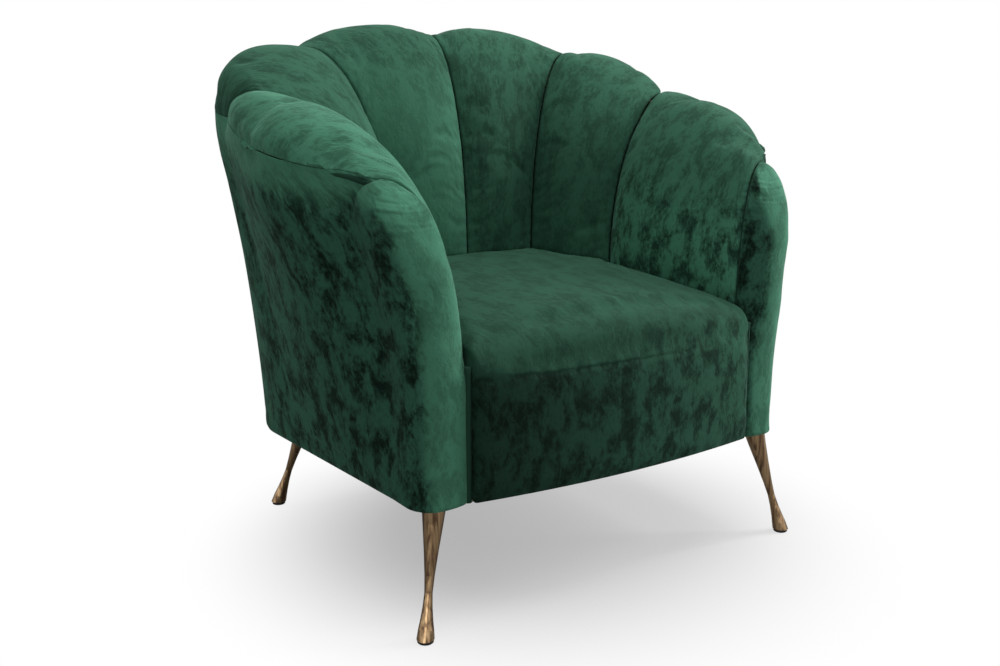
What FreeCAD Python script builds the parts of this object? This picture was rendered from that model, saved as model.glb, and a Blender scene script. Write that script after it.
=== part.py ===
import FreeCAD, Part
import math
import os
import Sketcher

from FreeCAD import Placement, Rotation, Vector

# Armchair with a scalloped, channelled shell back. Millimetres, +Z up, -Y is the front, X = 0 is the
# symmetry plane, the floor is Z = 0 and the origin is the middle of the chair's footprint on the floor.

SIZES = [
    # overall sizes of the upholstered shell
    ("overallWidth", 918, "outside of the arms at their widest, under the rim"),
    ("shellDepth", 622, "front of the arms to the back of the rim"),
    ("overallHeight", 852, "floor to the top of the highest channel"),
    ("frontPlane", 302.1, "front of the arms, ahead of the origin"),
    ("bottomHeight", 176, "floor to the lower edge of the upholstery"),
    # arms and outline at the lower edge
    ("armThickness", 79, "arm, inside to outside, at the lower edge"),
    ("armFlare", 114, "how far the arm leans out on each side"),
    ("sideSpread", 27, "how far each side spreads from front to rear corner at the lower edge"),
    ("rearTuck", 27, "how far the lower edge of the back lies ahead of the rim's back"),
    ("bottomCorner", 130, "radius of the rear corners at the lower edge"),
    # seam lines of the shell: where each starts at the seat and where it crosses the rim
    ("armFrontSetback", 38, "arm front to the seam on its inner side"),
    ("armFrontCrestIn", 114, "crest over the arm front, in from the overall width"),
    ("armFrontCrestBack", 75, "the same crest, behind the arm front"),
    ("armFrontDrop", 235, "the same crest, below the overall height"),
    ("armSeamIn", 31, "arm's rear seam at the seat, in from the arm's inner side"),
    ("armSeamAhead", 297, "the same point, ahead of the rim's back"),
    ("armCrestIn", 71, "crest of that seam, in from the overall width"),
    ("armCrestAhead", 260, "the same crest, ahead of the rim's back"),
    ("armCrestDrop", 130, "the same crest, below the overall height"),
    ("cornerSeamIn", 118, "back corner seam at the seat, in from the arm's inner side"),
    ("cornerSeamAhead", 172, "the same point, ahead of the rim's back"),
    ("cornerCrestIn", 194, "crest of that seam, in from the overall width"),
    ("cornerCrestAhead", 110, "the same crest, ahead of the rim's back"),
    ("cornerCrestDrop", 44, "the same crest, below the overall height"),
    ("backSeamAhead", 184, "middle seam at the seat, ahead of the rim's back"),
    ("backCrestAhead", 60, "crest of that seam, ahead of the rim's back"),
    ("backCrestDrop", 15, "the same crest, below the overall height"),
    # channels
    ("rimRoll", 45, "radius over which the rim rolls outwards"),
    ("channelWall", 14, "padding under the seams between channels"),
    ("channelCrown", 36, "how far each channel stands out of its seams"),
    ("seatLineCrown", 10, "the same, squeezed where the channel meets the seat"),
    ("softGap", 0.3, "clearance between neighbouring padded pieces"),
    ("hemGap", 1, "outer panels' upper edge to the channels' outer edge"),
    ("seatClearance", 2.5, "seat to the feet of the channels and to the arm fronts"),
    ("panelPadding", 12, "padding of the outer panels and of the arm fronts"),
    ("padLap", 2, "how far the hollow of an arm front reaches back past its seam"),
    # seat
    ("seatSideHeight", 398, "floor to the seat's edge beside the arm fronts"),
    ("seatRearRise", 36, "how much higher that edge lies at the back"),
    ("seatCrown", 24, "crown of the seat between its sides"),
    ("seatArch", 8, "crown of the seat from front to back"),
    ("seatBulge", 20, "how far the seat front bows forwards in the middle"),
    ("seatBulgeSide", 4, "how far it stands ahead of the arms at its ends"),
    ("seatNose", 34, "rounding of the seat's front upper edge"),
    ("borderTop", 356, "floor to the seam between the seat and its front"),
    ("borderPadding", 13, "arm fronts to the front rail"),
    ("borderCrown", 3, "how far the seat's padded front bulges out of its edges"),
    ("felt", 3, "felt sheet under the seat foam"),
    ("webbing", 2, "thickness of a webbing strap"),
    ("webbingWidth", 55, "width of a webbing strap"),
    # timber
    ("frameBottom", 177, "floor to the underside of the base frame"),
    ("basePly", 18, "thickness of the plywood base frame"),
    ("baseClearance", 2, "base frame to the inside of the outer panels"),
    ("baseLip", 10, "how far the base frame reaches in past the seat rails"),
    ("baseFrontCorner", 31, "radius of the base frame's front corners"),
    ("railHeight", 110, "height of the seat rails"),
    ("railThickness", 24, "thickness of the seat rails"),
    ("railInset", 4, "inner face of the side rails, in from the inner side of the arms"),
    ("rearRailAhead", 112, "rear face of the rear rail, ahead of the rim's back"),
    ("armPost", 28, "square section of the arm posts"),
    ("armPostSetback", 100, "arm front to the arm post"),
    ("backPost", 30, "square section of the back posts"),
    ("backPostIn", 45, "centre of a back post's foot, in from the rear leg's stud"),
    ("backPostAhead", 45, "rear face of the back posts' feet, ahead of the rim's back"),
    ("plyRail", 18, "thickness of the curved plywood rails"),
    ("plyDepth", 46, "depth of the curved plywood rails"),
    ("plyClearance", 10, "curved rails to the padding over them"),
    ("postNotch", 12, "how far the posts reach up into the curved rails"),
    ("blockIn", 15, "front leg blocks, in from the outside of the arms at the lower edge"),
    ("blockWidth", 44, "width of a rear leg block"),
    ("blockLength", 64, "length of a leg block"),
    ("blockFront", 16, "arm front to the front leg block"),
    ("blockHeight", 27, "height of the leg blocks"),
    ("blockCorner", 20, "rounding of the leg blocks' outer corners"),
    ("tenonThickness", 10, "tenons of the front and rear rails"),
    ("tenonLength", 18, "how far a tenon reaches into a side rail"),
    ("tenonShoulder", 20, "tenons from the upper and lower edge of a rail"),
    ("tenonClearance", 0.1, "mortises round the tenons"),
    ("drillClearance", 0.2, "how much wider a drilled hole is than what it holds"),
    ("dustCover", 1, "thickness of the cloth under the frame"),
    ("coverClearance", 2, "how much wider the holes in that cloth are than the studs"),
    # legs
    ("legTop", 34, "diameter of a leg where it meets the upholstery"),
    ("legWaist", 11.5, "diameter of the leg's waist"),
    ("legFoot", 25, "diameter of the leg's foot"),
    ("waistHeight", 64, "floor to the waist"),
    ("glideHeight", 5, "thickness of the plastic glide"),
    ("glideDiameter", 23, "diameter of the plastic glide"),
    ("glideChamfer", 1, "chamfer of the glide's lower edge"),
    ("studDiameter", 8, "threaded stud on top of a leg"),
    ("studLength", 40, "length of that stud"),
    ("nutBarrel", 11, "outside of the tee nut's barrel"),
    ("nutLength", 16, "length of that barrel"),
    ("nutFlange", 22, "diameter of the tee nut's flange"),
    ("nutFlangeThickness", 2, "thickness of that flange"),
    ("frontFootIn", 109, "front glides, in from the overall width"),
    ("frontFootAhead", 11, "front glides, ahead of the arm fronts"),
    ("frontLeanX", 0.22, "sideways lean of a front leg, run over rise"),
    ("frontLeanY", 0.218, "forward lean of a front leg, run over rise"),
    ("rearFootIn", 140, "rear glides, in from the overall width"),
    ("rearFootAhead", 37, "rear glides, ahead of the rim's back"),
    ("rearLeanX", 0.294, "sideways lean of a rear leg, run over rise"),
    ("rearLeanY", 0.183, "backward lean of a rear leg, run over rise"),
]

doc = FreeCAD.newDocument("scallop_armchair")
sheet = doc.addObject("Spreadsheet::Sheet", "dims")
for row, (alias, value, note) in enumerate(SIZES, start=1):
    sheet.set(f"A{row}", alias)
    sheet.set(f"B{row}", str(value))
    sheet.setAlias(f"B{row}", alias)
    sheet.set(f"C{row}", note)
doc.recompute()


def size(alias):
    return float(sheet.get(alias))


# Places that follow from the sizes, as numbers for the padded pieces and as expressions for the rest.
half_width = size("overallWidth") / 2
front = -size("frontPlane")
rear = front + size("shellDepth")
seat_half = half_width - size("armFlare") - size("armThickness")
bottom_half = seat_half + size("armThickness")
height = size("overallHeight")
gap = size("softGap")
base_top = size("frameBottom") + size("basePly")
rail_top = base_top + size("railHeight")
straps_top = rail_top + 2 * size("webbing")
UP = Vector(0, 0, 1)

FRONT = "(-dims.frontPlane)"
REAR = "(dims.shellDepth - dims.frontPlane)"
SEAT_HALF = "(dims.overallWidth / 2 - dims.armFlare - dims.armThickness)"
BOTTOM_HALF = f"({SEAT_HALF} + dims.armThickness)"
BASE_TOP = "(dims.frameBottom + dims.basePly)"
RAIL_TOP = f"({BASE_TOP} + dims.railHeight)"
RAIL_IN = f"({SEAT_HALF} - dims.railInset)"
RAIL_OUT = f"({RAIL_IN} + dims.railThickness)"
RAIL_FRONT = f"({FRONT} + dims.borderPadding)"
RAIL_REAR = f"({REAR} - dims.rearRailAhead)"
LEG_RISE = "(dims.bottomHeight - dims.glideHeight)"

# Where each right-hand leg stands, how it leans and where its stud enters the frame.
LEGS = {
    "front": {"x": "(dims.overallWidth / 2 - dims.frontFootIn)", "y": f"({FRONT} - dims.frontFootAhead)",
              "lean_x": "-dims.frontLeanX", "lean_y": "dims.frontLeanY",
              "foot": Vector(half_width - size("frontFootIn"), front - size("frontFootAhead"),
                             size("glideHeight")),
              "lean": Vector(-size("frontLeanX"), size("frontLeanY"), 1)},
    "rear": {"x": "(dims.overallWidth / 2 - dims.rearFootIn)", "y": f"({REAR} - dims.rearFootAhead)",
             "lean_x": "-dims.rearLeanX", "lean_y": "-dims.rearLeanY",
             "foot": Vector(half_width - size("rearFootIn"), rear - size("rearFootAhead"),
                            size("glideHeight")),
             "lean": Vector(-size("rearLeanX"), -size("rearLeanY"), 1)},
}
for leg in LEGS.values():
    leg["stud_x"] = f"({leg['x']} + {leg['lean_x']} * {LEG_RISE})"
    leg["stud_y"] = f"({leg['y']} + {leg['lean_y']} * {LEG_RISE})"

# A leg's profile below its waist, from the foot, and above it, to the top: share of the way along, and share
# of the swell from the waist to that end.
LEG_BELOW_WAIST = [(0, 1), (0.2, 0.8), (0.4, 0.5), (0.7, 0.17), (1, 0)]
LEG_ABOVE_WAIST = [(0.2, 0.12), (0.5, 0.42), (0.8, 0.77), (1, 1)]
LEG_SIDES = 24

sub_parts = []


def mix(first, second, share):
    return first + (second - first) * share


# The four seam lines of one side, from the arm front (0) to the middle of the back (3). Each starts at the
# seat, on the inner face, and runs up and over the rim. `shoulder` is how far below the crest the outer panel
# turns into the rim's roll, `reach` how far outside the roll it lies there, `hem` how far over the rim, from
# the crest, the channel meets the outer panel, and `hollow` how far the panel is drawn in half way down.
SEAMS = [
    {"base": Vector(seat_half, front + size("armFrontSetback"), 400),
     "crest": Vector(half_width - size("armFrontCrestIn"), front + size("armFrontCrestBack"),
                     height - size("armFrontDrop")),
     "reach": 2, "shoulder": 60, "hem": 12, "hollow": 20},
    {"base": Vector(seat_half - size("armSeamIn"), rear - size("armSeamAhead"), 430),
     "crest": Vector(half_width - size("armCrestIn"), rear - size("armCrestAhead"),
                     height - size("armCrestDrop")),
     "reach": 13, "shoulder": 62, "hem": 66, "hollow": 6},
    {"base": Vector(seat_half - size("cornerSeamIn"), rear - size("cornerSeamAhead"), 445),
     "crest": Vector(half_width - size("cornerCrestIn"), rear - size("cornerCrestAhead"),
                     height - size("cornerCrestDrop")),
     "reach": 40, "shoulder": 70, "hem": 84, "hollow": 0},
    {"base": Vector(0, rear - size("backSeamAhead"), 445),
     "crest": Vector(0, rear - size("backCrestAhead"), height - size("backCrestDrop")),
     "reach": 12, "shoulder": 78, "hem": 92, "hollow": 0},
]

# One channel between each pair of seams: how far its rim stands out beyond the straight line between the
# seams' crests, sideways (`sweep`) and upwards (`arch`), how much lower the panel's shoulder lies (`skirt`)
# and how much further over the rim its hem lies (`drop`).
CHANNELS = [
    {"name": "arm_channel", "sweep": 43, "arch": 36, "skirt": 20, "drop": 40},
    {"name": "back_channel_corner", "sweep": 60, "arch": 31, "skirt": 8, "drop": 30},
    {"name": "back_channel_centre", "sweep": 34, "arch": 26, "skirt": 4, "drop": 24},
]
SHARES = [0, 0.06, 0.14, 0.25, 0.37, 0.5, 0.63, 0.75, 0.86, 0.94, 1]


def station(index, share):
    """Plan frame and heights of the upright section at `share` of the way across a channel."""
    start, end, channel = SEAMS[index], SEAMS[index + 1], CHANNELS[index]
    swell = 4 * share * (1 - share)
    across = end["crest"] - start["crest"]
    outward = Vector(across.y, -across.x, 0).normalize()
    base = mix(start["base"], end["base"], share)
    crest = mix(start["crest"], end["crest"], share)
    crest = crest + outward * channel["sweep"] * swell + UP * channel["arch"] * swell
    run = Vector(crest.x - base.x, crest.y - base.y, 0)
    shoulder = mix(start["shoulder"], end["shoulder"], share) + (channel["arch"] + channel["skirt"]) * swell
    return {
        "base": base,
        "rise": crest.z - base.z,
        "lean": run.Length,
        "direction": run / run.Length,
        "reach": size("rimRoll") + mix(start["reach"], end["reach"], share) * (1 - swell * 0.6),
        "shoulder": crest.z - shoulder,
        "hem": mix(start["hem"], end["hem"], share) + channel["drop"] * swell,
        "crown": size("channelCrown") * swell,
        "squeezed": size("seatLineCrown") * swell,
        "arch": channel["arch"] * swell,
        "hollow": mix(start["hollow"], end["hollow"], share),
    }


def place(at, run, level):
    """The point `run` outwards from the base of a section, at height `level`."""
    return Vector(at["base"].x, at["base"].y, 0) + at["direction"] * run + UP * level


def arc(first, middle, last):
    return Part.Arc(first, middle, last).toShape()


def closed(points):
    return Part.makePolygon(points + points[:1])


def turns(start, end, count):
    """Angles in radians at even steps between two given in degrees, both included."""
    return [math.radians(mix(start, end, number / count)) for number in range(count + 1)]


def line(first, last):
    return Part.LineSegment(first, last).toShape()


def face_point(at, angle):
    """Inner face of a channel, from the seat (0) to the crest (90 degrees)."""
    swell = at["squeezed"] + (at["crown"] - at["squeezed"]) * math.sin(angle) ** 0.5
    run = at["lean"] * (1 - math.cos(angle)) - swell * math.cos(angle)
    return place(at, run, at["base"].z + at["rise"] * math.sin(angle) + swell * math.sin(angle) * 0.2)


def hidden_drop(at):
    """How much thicker the padding is at a channel's crest than at its seams."""
    return at["arch"] * 0.5


def back_point(at, angle):
    """Hidden back of a channel's padding, along the same sweep."""
    wall = size("channelWall")
    run = wall + (at["lean"] - wall) * (1 - math.cos(angle))
    return place(at, run, at["base"].z + (at["rise"] - hidden_drop(at) - wall) * math.sin(angle))


def over_rim(at, distance, inset=0, sunk=0):
    """Point at a distance over the rim from the crest: round the roll, then down towards the shoulder.

    `inset` is how far inside the surface it lies and `sunk` how much lower the roll's crest is there.
    """
    roll, crest = size("rimRoll"), at["base"].z + at["rise"]
    turn = min(distance / roll, math.pi / 2)
    beyond = distance - roll * turn
    level = crest - roll + (roll - inset) * math.cos(turn) - beyond
    outwards = (at["reach"] - roll) * beyond / (crest - roll - at["shoulder"])
    return place(at, at["lean"] + (roll - inset) * math.sin(turn) + outwards, level - sunk)


def shoulder_distance(at):
    """How far over the rim the outer panel's shoulder lies."""
    roll = size("rimRoll")
    return roll * math.pi / 2 + at["base"].z + at["rise"] - roll - at["shoulder"]


def channel_section(at):
    """Closed section of a channel: crowned inner face, rolled rim down to the hem, and the hidden back."""
    wall = size("channelWall")
    bottom = straps_top + gap
    outer = [over_rim(at, at["hem"] * step / 5) for step in range(6)]
    hidden = [over_rim(at, at["hem"] * (1 - step / 4), wall, hidden_drop(at) * step / 4) for step in range(5)]
    return [
        place(at, -at["squeezed"], bottom),
        *[face_point(at, angle) for angle in turns(0, 78, 6)],
        *outer,
        *hidden,
        *[back_point(at, angle) for angle in turns(75, 0, 3)],
        place(at, wall, bottom),
    ]


def along_shell(at):
    """Level direction along the shell, towards the middle of the back."""
    return Vector(-at["direction"].y, at["direction"].x, 0)


def sections_through(section, spots, ends=(1, -1)):
    """Sections at each channel and share. The end ones are moved half a gap away from the seams there."""
    made = [section(station(*spot)) for spot in spots]
    for number, sign in zip((0, -1), ends):
        shift = along_shell(station(*spots[number])) * (sign * gap / 2)
        made[number] = [spot + shift for spot in made[number]]
    return made


def mirrored(shape):
    return shape.mirror(Vector(0, 0, 0), Vector(1, 0, 0))


def lower_edge():
    """Half of the outline at the lower edge, from the arm front round the rear corner to the middle."""
    radius = size("bottomCorner")
    back = rear - size("rearTuck")
    side = bottom_half + size("sideSpread")
    centre = Vector(side - radius, back - radius, 0)
    turn = math.radians(45)
    start, end = Vector(side, back - radius, 0), Vector(side - radius, back, 0)
    middle = centre + Vector(math.cos(turn), math.sin(turn), 0) * radius
    return Part.Wire([line(Vector(bottom_half, front, 0), start), arc(start, middle, end),
                      line(end, Vector(-1, back, 0))])


outline = lower_edge()


def lower_run(at):
    """How far out of its base a section crosses the outline at the lower edge."""
    base = Vector(at["base"].x, at["base"].y, 0)
    ray = line(base, base + at["direction"] * size("shellDepth"))
    return (outline.distToShape(ray)[1][0][0] - base).Length


def panel_run(at, level):
    """How far out of its base the outer panel's face lies at a height."""
    bottom, top = size("bottomHeight"), at["shoulder"]
    share = (level - bottom) / (top - bottom)
    straight = mix(lower_run(at), at["lean"] + at["reach"], share)
    return straight - at["hollow"] * 4 * share * (1 - share)


def panel_section(at):
    """Closed section of an outer panel, from the lower edge up to the channel's hem."""
    wall = size("panelPadding")
    levels = [mix(size("bottomHeight"), at["shoulder"], step / 4) for step in range(5)]
    distances = [mix(shoulder_distance(at), at["hem"] + size("hemGap"), step / 4) for step in range(1, 5)]
    outer = [place(at, panel_run(at, level), level) for level in levels]
    inner = [place(at, panel_run(at, level) - wall, level) for level in levels]
    outer += [over_rim(at, distance) for distance in distances]
    inner += [over_rim(at, distance, wall) for distance in distances]
    return outer + inner[::-1]


def rail_top_at(at):
    return at["base"].z + at["rise"] - hidden_drop(at) - size("channelWall") - size("plyClearance")


def rail_wire(at):
    """Section of a curved plywood rail, close under the padding of the rim."""
    half = size("plyRail") / 2
    top, lean = rail_top_at(at), at["lean"]
    low = top - size("plyDepth")
    return closed([place(at, lean - half, low), place(at, lean + half, low),
                   place(at, lean + half, top), place(at, lean - half, top)])


def add_shape(name, shape):
    """A sub-part whose shape is made by a function from the sheet's sizes."""
    part = doc.addObject("Part::Feature", name)
    part.Label = name
    part.Shape = shape
    part.Placement = Placement()
    sub_parts.append(part)
    return part


def add_pair(name, shape):
    """The +X piece and its mirror image."""
    add_shape(f"{name}_left", mirrored(shape))
    add_shape(f"{name}_right", shape)


def faceted(sections):
    """Solid through plane sections that have equally many points, with a skin of flat triangles."""
    faces = [Part.Face(closed(sections[0])), Part.Face(closed(sections[-1]))]
    for first, second in zip(sections[:-1], sections[1:]):
        for number in range(len(first)):
            low, high = first[number - 1], first[number]
            low_next, high_next = second[number - 1], second[number]
            if low.distanceToPoint(high_next) < high.distanceToPoint(low_next):
                corners = [[low, high, high_next], [low, high_next, low_next]]
            else:
                corners = [[low, high, low_next], [high, high_next, low_next]]
            faces += [Part.Face(closed(three)) for three in corners]
    shell = Part.makeShell(faces)
    shell.sewShape()
    solid = Part.makeSolid(shell)
    if solid.Volume < 0:
        solid.reverse()
    return solid


def add_channels():
    for index, channel in enumerate(CHANNELS):
        spots = [(index, share) for share in SHARES]
        add_pair(channel["name"], faceted(sections_through(channel_section, spots)))


def add_outer_panels():
    side = [(0, share) for share in SHARES[:-1]] + [(1, share) for share in SHARES]
    add_pair("outer_side_panel", faceted(sections_through(panel_section, side)))
    right = sections_through(panel_section, [(2, share) for share in SHARES], (1, 0))
    left = [[mirror_spot(spot) for spot in section] for section in reversed(right[:-1])]
    add_shape("outer_back_panel", faceted(right + left))


# Levels of the padding over an arm front, as shares of the height from its lower edge to its crest, and how
# far each lies behind the arm's front plane. The top of the roll leans back, so its front goes back quickly
# near the crest.
PAD_NOSES = [(0, 0), (0.26, -1), (0.51, -6), (0.735, 0), (0.825, 12), (0.882, 24), (0.932, 38), (0.973, 55),
             (0.995, 68)]


def pad_sections(noses, wall):
    """Level sections of an arm front, one for each share of its height."""
    bottom, crest = size("bottomHeight"), height - size("armFrontDrop")
    return [pad_section(mix(bottom, crest, share), nose, wall) for share, nose in noses]


def pad_inner_setback(level):
    """How far behind the arm's front plane its inner side turns into the nose: less beside the seat front."""
    share = (level - size("borderTop")) / (size("seatSideHeight") - size("borderTop"))
    return mix(size("borderPadding"), size("armFrontSetback"), min(1, max(0, share)))


def pad_section(level, nose, wall):
    """Level section of an arm front, `wall` inside its surface, with a round nose ahead of the first seam."""
    at = station(0, 0)
    crest, roll = at["base"].z + at["rise"], size("rimRoll")
    sine = max(0, (level - at["base"].z) / at["rise"])
    inner = at["lean"] * (1 - math.sqrt(1 - sine ** 2)) + wall
    outer = panel_run(at, level) - wall
    if level > at["shoulder"]:
        above = max(0, level - (crest - roll))
        outer = at["lean"] + math.sqrt(roll ** 2 - above ** 2) - wall
    behind = along_shell(at) * (size("padLap") if wall else -gap / 2)
    start, end = place(at, inner, level) + behind, place(at, outer, level) + behind
    tip = Vector((start.x + end.x) / 2, front + nose + wall, level)
    turn_in = min(start.y, max(tip.y + 1, front + pad_inner_setback(level)))
    turn_out = min(end.y - 1, tip.y + end.x - tip.x)
    near = [Vector(tip.x - (tip.x - start.x) * math.cos(turn), turn_in - (turn_in - tip.y) * math.sin(turn),
                   level) for turn in turns(0, 90, 4)]
    far = [Vector(tip.x + (end.x - tip.x) * math.sin(turn), turn_out - (turn_out - tip.y) * math.cos(turn),
                  level) for turn in turns(0, 90, 4)]
    if turn_in < start.y - 1:
        return [start] + near + far[1:] + [end]
    return [start, mix(start, near[1], 0.5)] + near[1:] + far[1:] + [end]


def add_arm_front_pads():
    """Padding round the arm fronts: open behind, and below the seat open towards the frame as well."""
    wall = size("panelPadding")
    solid = faceted(pad_sections(PAD_NOSES, 0))
    cavity = faceted(pad_sections([(-0.03, 0)] + PAD_NOSES[1:-2], wall))
    window = Part.makeBox(size("armThickness"), size("armPostSetback"), straps_top,
                          Vector(seat_half - wall, front + size("borderPadding") - gap, 0))
    add_pair("arm_front_pad", solid.cut(cavity).cut(window))


def bow(x):
    """1 on the symmetry plane, 0 at the seat's sides."""
    return 1 - (x / seat_half) ** 2


def seat_front(x):
    return front - size("seatBulgeSide") - size("seatBulge") * bow(x)


def cushion_outline(inset):
    """Plan of the seat: straight front, then along the feet of the channels on both sides."""
    side = seat_half - inset
    ahead = front - 2 * size("seatBulge")
    spots = [Vector(side, ahead, 0)]
    edges = []
    for index in range(len(CHANNELS)):
        first, middle, last = (foot_spot(station(index, share), inset) for share in (0, 0.5, 1))
        edges.append(arc(first, middle, last))
    spots.append(edges[0].Vertexes[0].Point)
    half = [line(*spots)] + edges
    other = [mirrored(edge) for edge in reversed(half)]
    return Part.Wire(Part.__sortEdges__(half + other + [line(mirror_spot(spots[0]), spots[0])]))


def foot_spot(at, inset):
    spot = place(at, -at["squeezed"] - inset, 0)
    return Vector(max(0, spot.x), spot.y, 0) if at["base"].x else Vector(0, spot.y, 0)


def mirror_spot(spot):
    return Vector(-spot.x, spot.y, spot.z)


def seat_profile(x):
    """Upright section of the seat from front to back, with its rounded front edge and long crown."""
    nose, low = size("seatNose"), size("borderTop")
    face = seat_front(x)
    bottom = straps_top + size("felt") + gap
    rail_face = front + size("borderPadding")
    crown = size("seatCrown") * bow(x)
    front_top = size("seatSideHeight") + crown
    back_top = front_top + size("seatRearRise")
    back = rear - size("backSeamAhead") + size("channelCrown")
    corner = Vector(x, face, max(low + 2, front_top - nose))
    rounded = [Vector(x, face + nose * (1 - math.cos(turn)), mix(corner.z, front_top, math.sin(turn)))
               for turn in turns(0, 90, 4)]
    crowned = []
    for along in (0.25, 0.5, 0.75, 1):
        arched = 4 * size("seatArch") * along * (1 - along)
        crowned.append(Vector(x, mix(face + nose, back, along), mix(front_top, back_top, along) + arched))
    return closed([Vector(x, rail_face, bottom), Vector(x, rail_face, low), Vector(x, face, low), *rounded,
                   *crowned, Vector(x, back, bottom)])


def border_profile(x):
    """Upright section of the padded seat front, from the rail's face forwards."""
    face, back = seat_front(x), front + size("borderPadding") - gap
    low, high = size("bottomHeight"), size("borderTop") - gap
    edge = face + size("borderCrown")
    return closed([Vector(x, back, high), Vector(x, back, low), Vector(x, edge, low),
                   Vector(x, face, mix(low, high, 0.3)), Vector(x, face, mix(low, high, 0.7)),
                   Vector(x, edge, high)])


def across(half, profile):
    """Loft of a profile from one side to the other."""
    return Part.makeLoft([profile(half * share) for share in (-1, -0.75, -0.4, 0, 0.4, 0.75, 1)], True, True)


def add_seat():
    outline = Part.Face(cushion_outline(size("seatClearance")))
    prism = outline.extrude(UP * height)
    add_shape("seat_cushion", across(seat_half + 6, seat_profile).common(prism))
    add_shape("seat_front_border", across(seat_half - size("seatClearance"), border_profile))
    reach = Part.makeBox(2 * seat_half, size("shellDepth"), height,
                         Vector(-seat_half, front + size("borderPadding"), 0))
    felt = outline.extrude(UP * size("felt"))
    felt.translate(UP * straps_top)
    add_shape("seat_felt", felt.common(reach))


def bind(thing, **expressions):
    for target, expression in expressions.items():
        thing.setExpression(target, expression)


def move_to(thing, x="0", y="0", z="0"):
    thing.setExpression("Placement.Base.x", x)
    thing.setExpression("Placement.Base.y", y)
    thing.setExpression("Placement.Base.z", z)


def finish(name, thing):
    thing.Label = name
    sub_parts.append(thing)


def box(name, x, y, z, length, width, tall):
    """A box with its lower front left corner at x, y, z."""
    made = doc.addObject("Part::Box", name)
    bind(made, Length=length, Width=width, Height=tall)
    move_to(made, x, y, z)
    return made


def rod(name, x, y, z, diameter, length, along=UP):
    made = doc.addObject("Part::Cylinder", name)
    made.Placement = Placement(Vector(), Rotation(UP, along))
    bind(made, Radius=f"({diameter}) / 2", Height=length)
    move_to(made, x, y, z)
    return made


def group(name, members):
    made = doc.addObject("Part::Compound", name)
    made.Links = members
    return made


def cut(name, base, tool):
    made = doc.addObject("Part::Cut", name)
    made.Base = base
    made.Tool = tool
    return made


def mirror_of(name, source):
    made = doc.addObject("Part::Mirroring", name)
    made.Source = source
    made.Normal = Vector(1, 0, 0)
    return made


def finish_pair(name, source):
    """The +X piece under its name, and its mirror image."""
    finish(f"{name}_right", source)
    finish(f"{name}_left", mirror_of(f"{name}_left", source))


def polygon(body, name, role, corners):
    """Closed sketch on one of the body's own planes, each corner held by two bound distances."""
    sketch = body.newObject("Sketcher::SketchObject", name)
    plane = next(item for item in body.Origin.OriginFeatures if item.Role == role)
    sketch.AttachmentSupport = [(plane, "")]
    sketch.MapMode = "FlatFace"
    count = len(corners)
    for number in range(count):
        turn = 2 * math.pi / count
        first = Vector(math.cos(turn * number), math.sin(turn * number), 0) * 50
        last = Vector(math.cos(turn * (number + 1)), math.sin(turn * (number + 1)), 0) * 50
        sketch.addGeometry(Part.LineSegment(first, last), False)
    for number, (x, y) in enumerate(corners):
        sketch.addConstraint(Sketcher.Constraint("Coincident", number, 2, (number + 1) % count, 1))
        for kind, value in (("DistanceX", x), ("DistanceY", y)):
            index = sketch.addConstraint(Sketcher.Constraint(kind, -1, 1, number, 1, 1.0))
            sketch.setExpression(f"Constraints[{index}]", value)
    return sketch


def slab(name, corners, thickness):
    """Body made by padding a polygon upwards; the caller places it."""
    body = doc.addObject("PartDesign::Body", name)
    pad = body.newObject("PartDesign::Pad", f"{name}_pad")
    pad.Profile = polygon(body, f"{name}_sketch", "XY_Plane", corners)
    pad.setExpression("Length", thickness)
    body.Tip = pad
    return body


def upright_edges(feature, wanted):
    """Names of the upright edges of a feature whose place, from the feature's centre, passes a test."""
    centre = feature.Shape.BoundBox.Center
    found = []
    for number, edge in enumerate(feature.Shape.Edges, start=1):
        box_of = edge.BoundBox
        upright = box_of.ZLength > 0.5 and max(box_of.XLength, box_of.YLength) < 0.01
        if upright and wanted(edge.CenterOfMass - centre):
            found.append(f"Edge{number}")
    return found


def round_edges(body, name, radius, wanted):
    """Fillet of upright edges. The body has to be placed afterwards."""
    doc.recompute()
    base = body.Tip
    fillet = body.newObject("PartDesign::Fillet", name)
    fillet.Base = (base, upright_edges(base, wanted))
    fillet.setExpression("Radius", radius)
    body.Tip = fillet
    doc.recompute()


def turned(name, corners):
    """Body revolved about Z from a polygon of radius and height."""
    body = doc.addObject("PartDesign::Body", name)
    sketch = polygon(body, f"{name}_sketch", "XZ_Plane", corners)
    turn = body.newObject("PartDesign::Revolution", f"{name}_turn")
    turn.Profile = sketch
    turn.ReferenceAxis = (sketch, ["V_Axis"])
    turn.Angle = 360
    body.Tip = turn
    return body


def ring(centre, lean, diameter, level):
    """Corners of a round cross-section, square to the lean or cut level, with enough sides to look round."""
    along = Vector(lean).normalize()
    side = along.cross(Vector(0, 1, 0)).normalize()
    other = along.cross(side)
    spots = []
    for turn in turns(0, 360, LEG_SIDES)[:-1]:
        arm = (side * math.cos(turn) + other * math.sin(turn)) * (diameter / 2)
        spots.append(centre + (arm - lean * arm.z if level else arm))
    return spots


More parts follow.
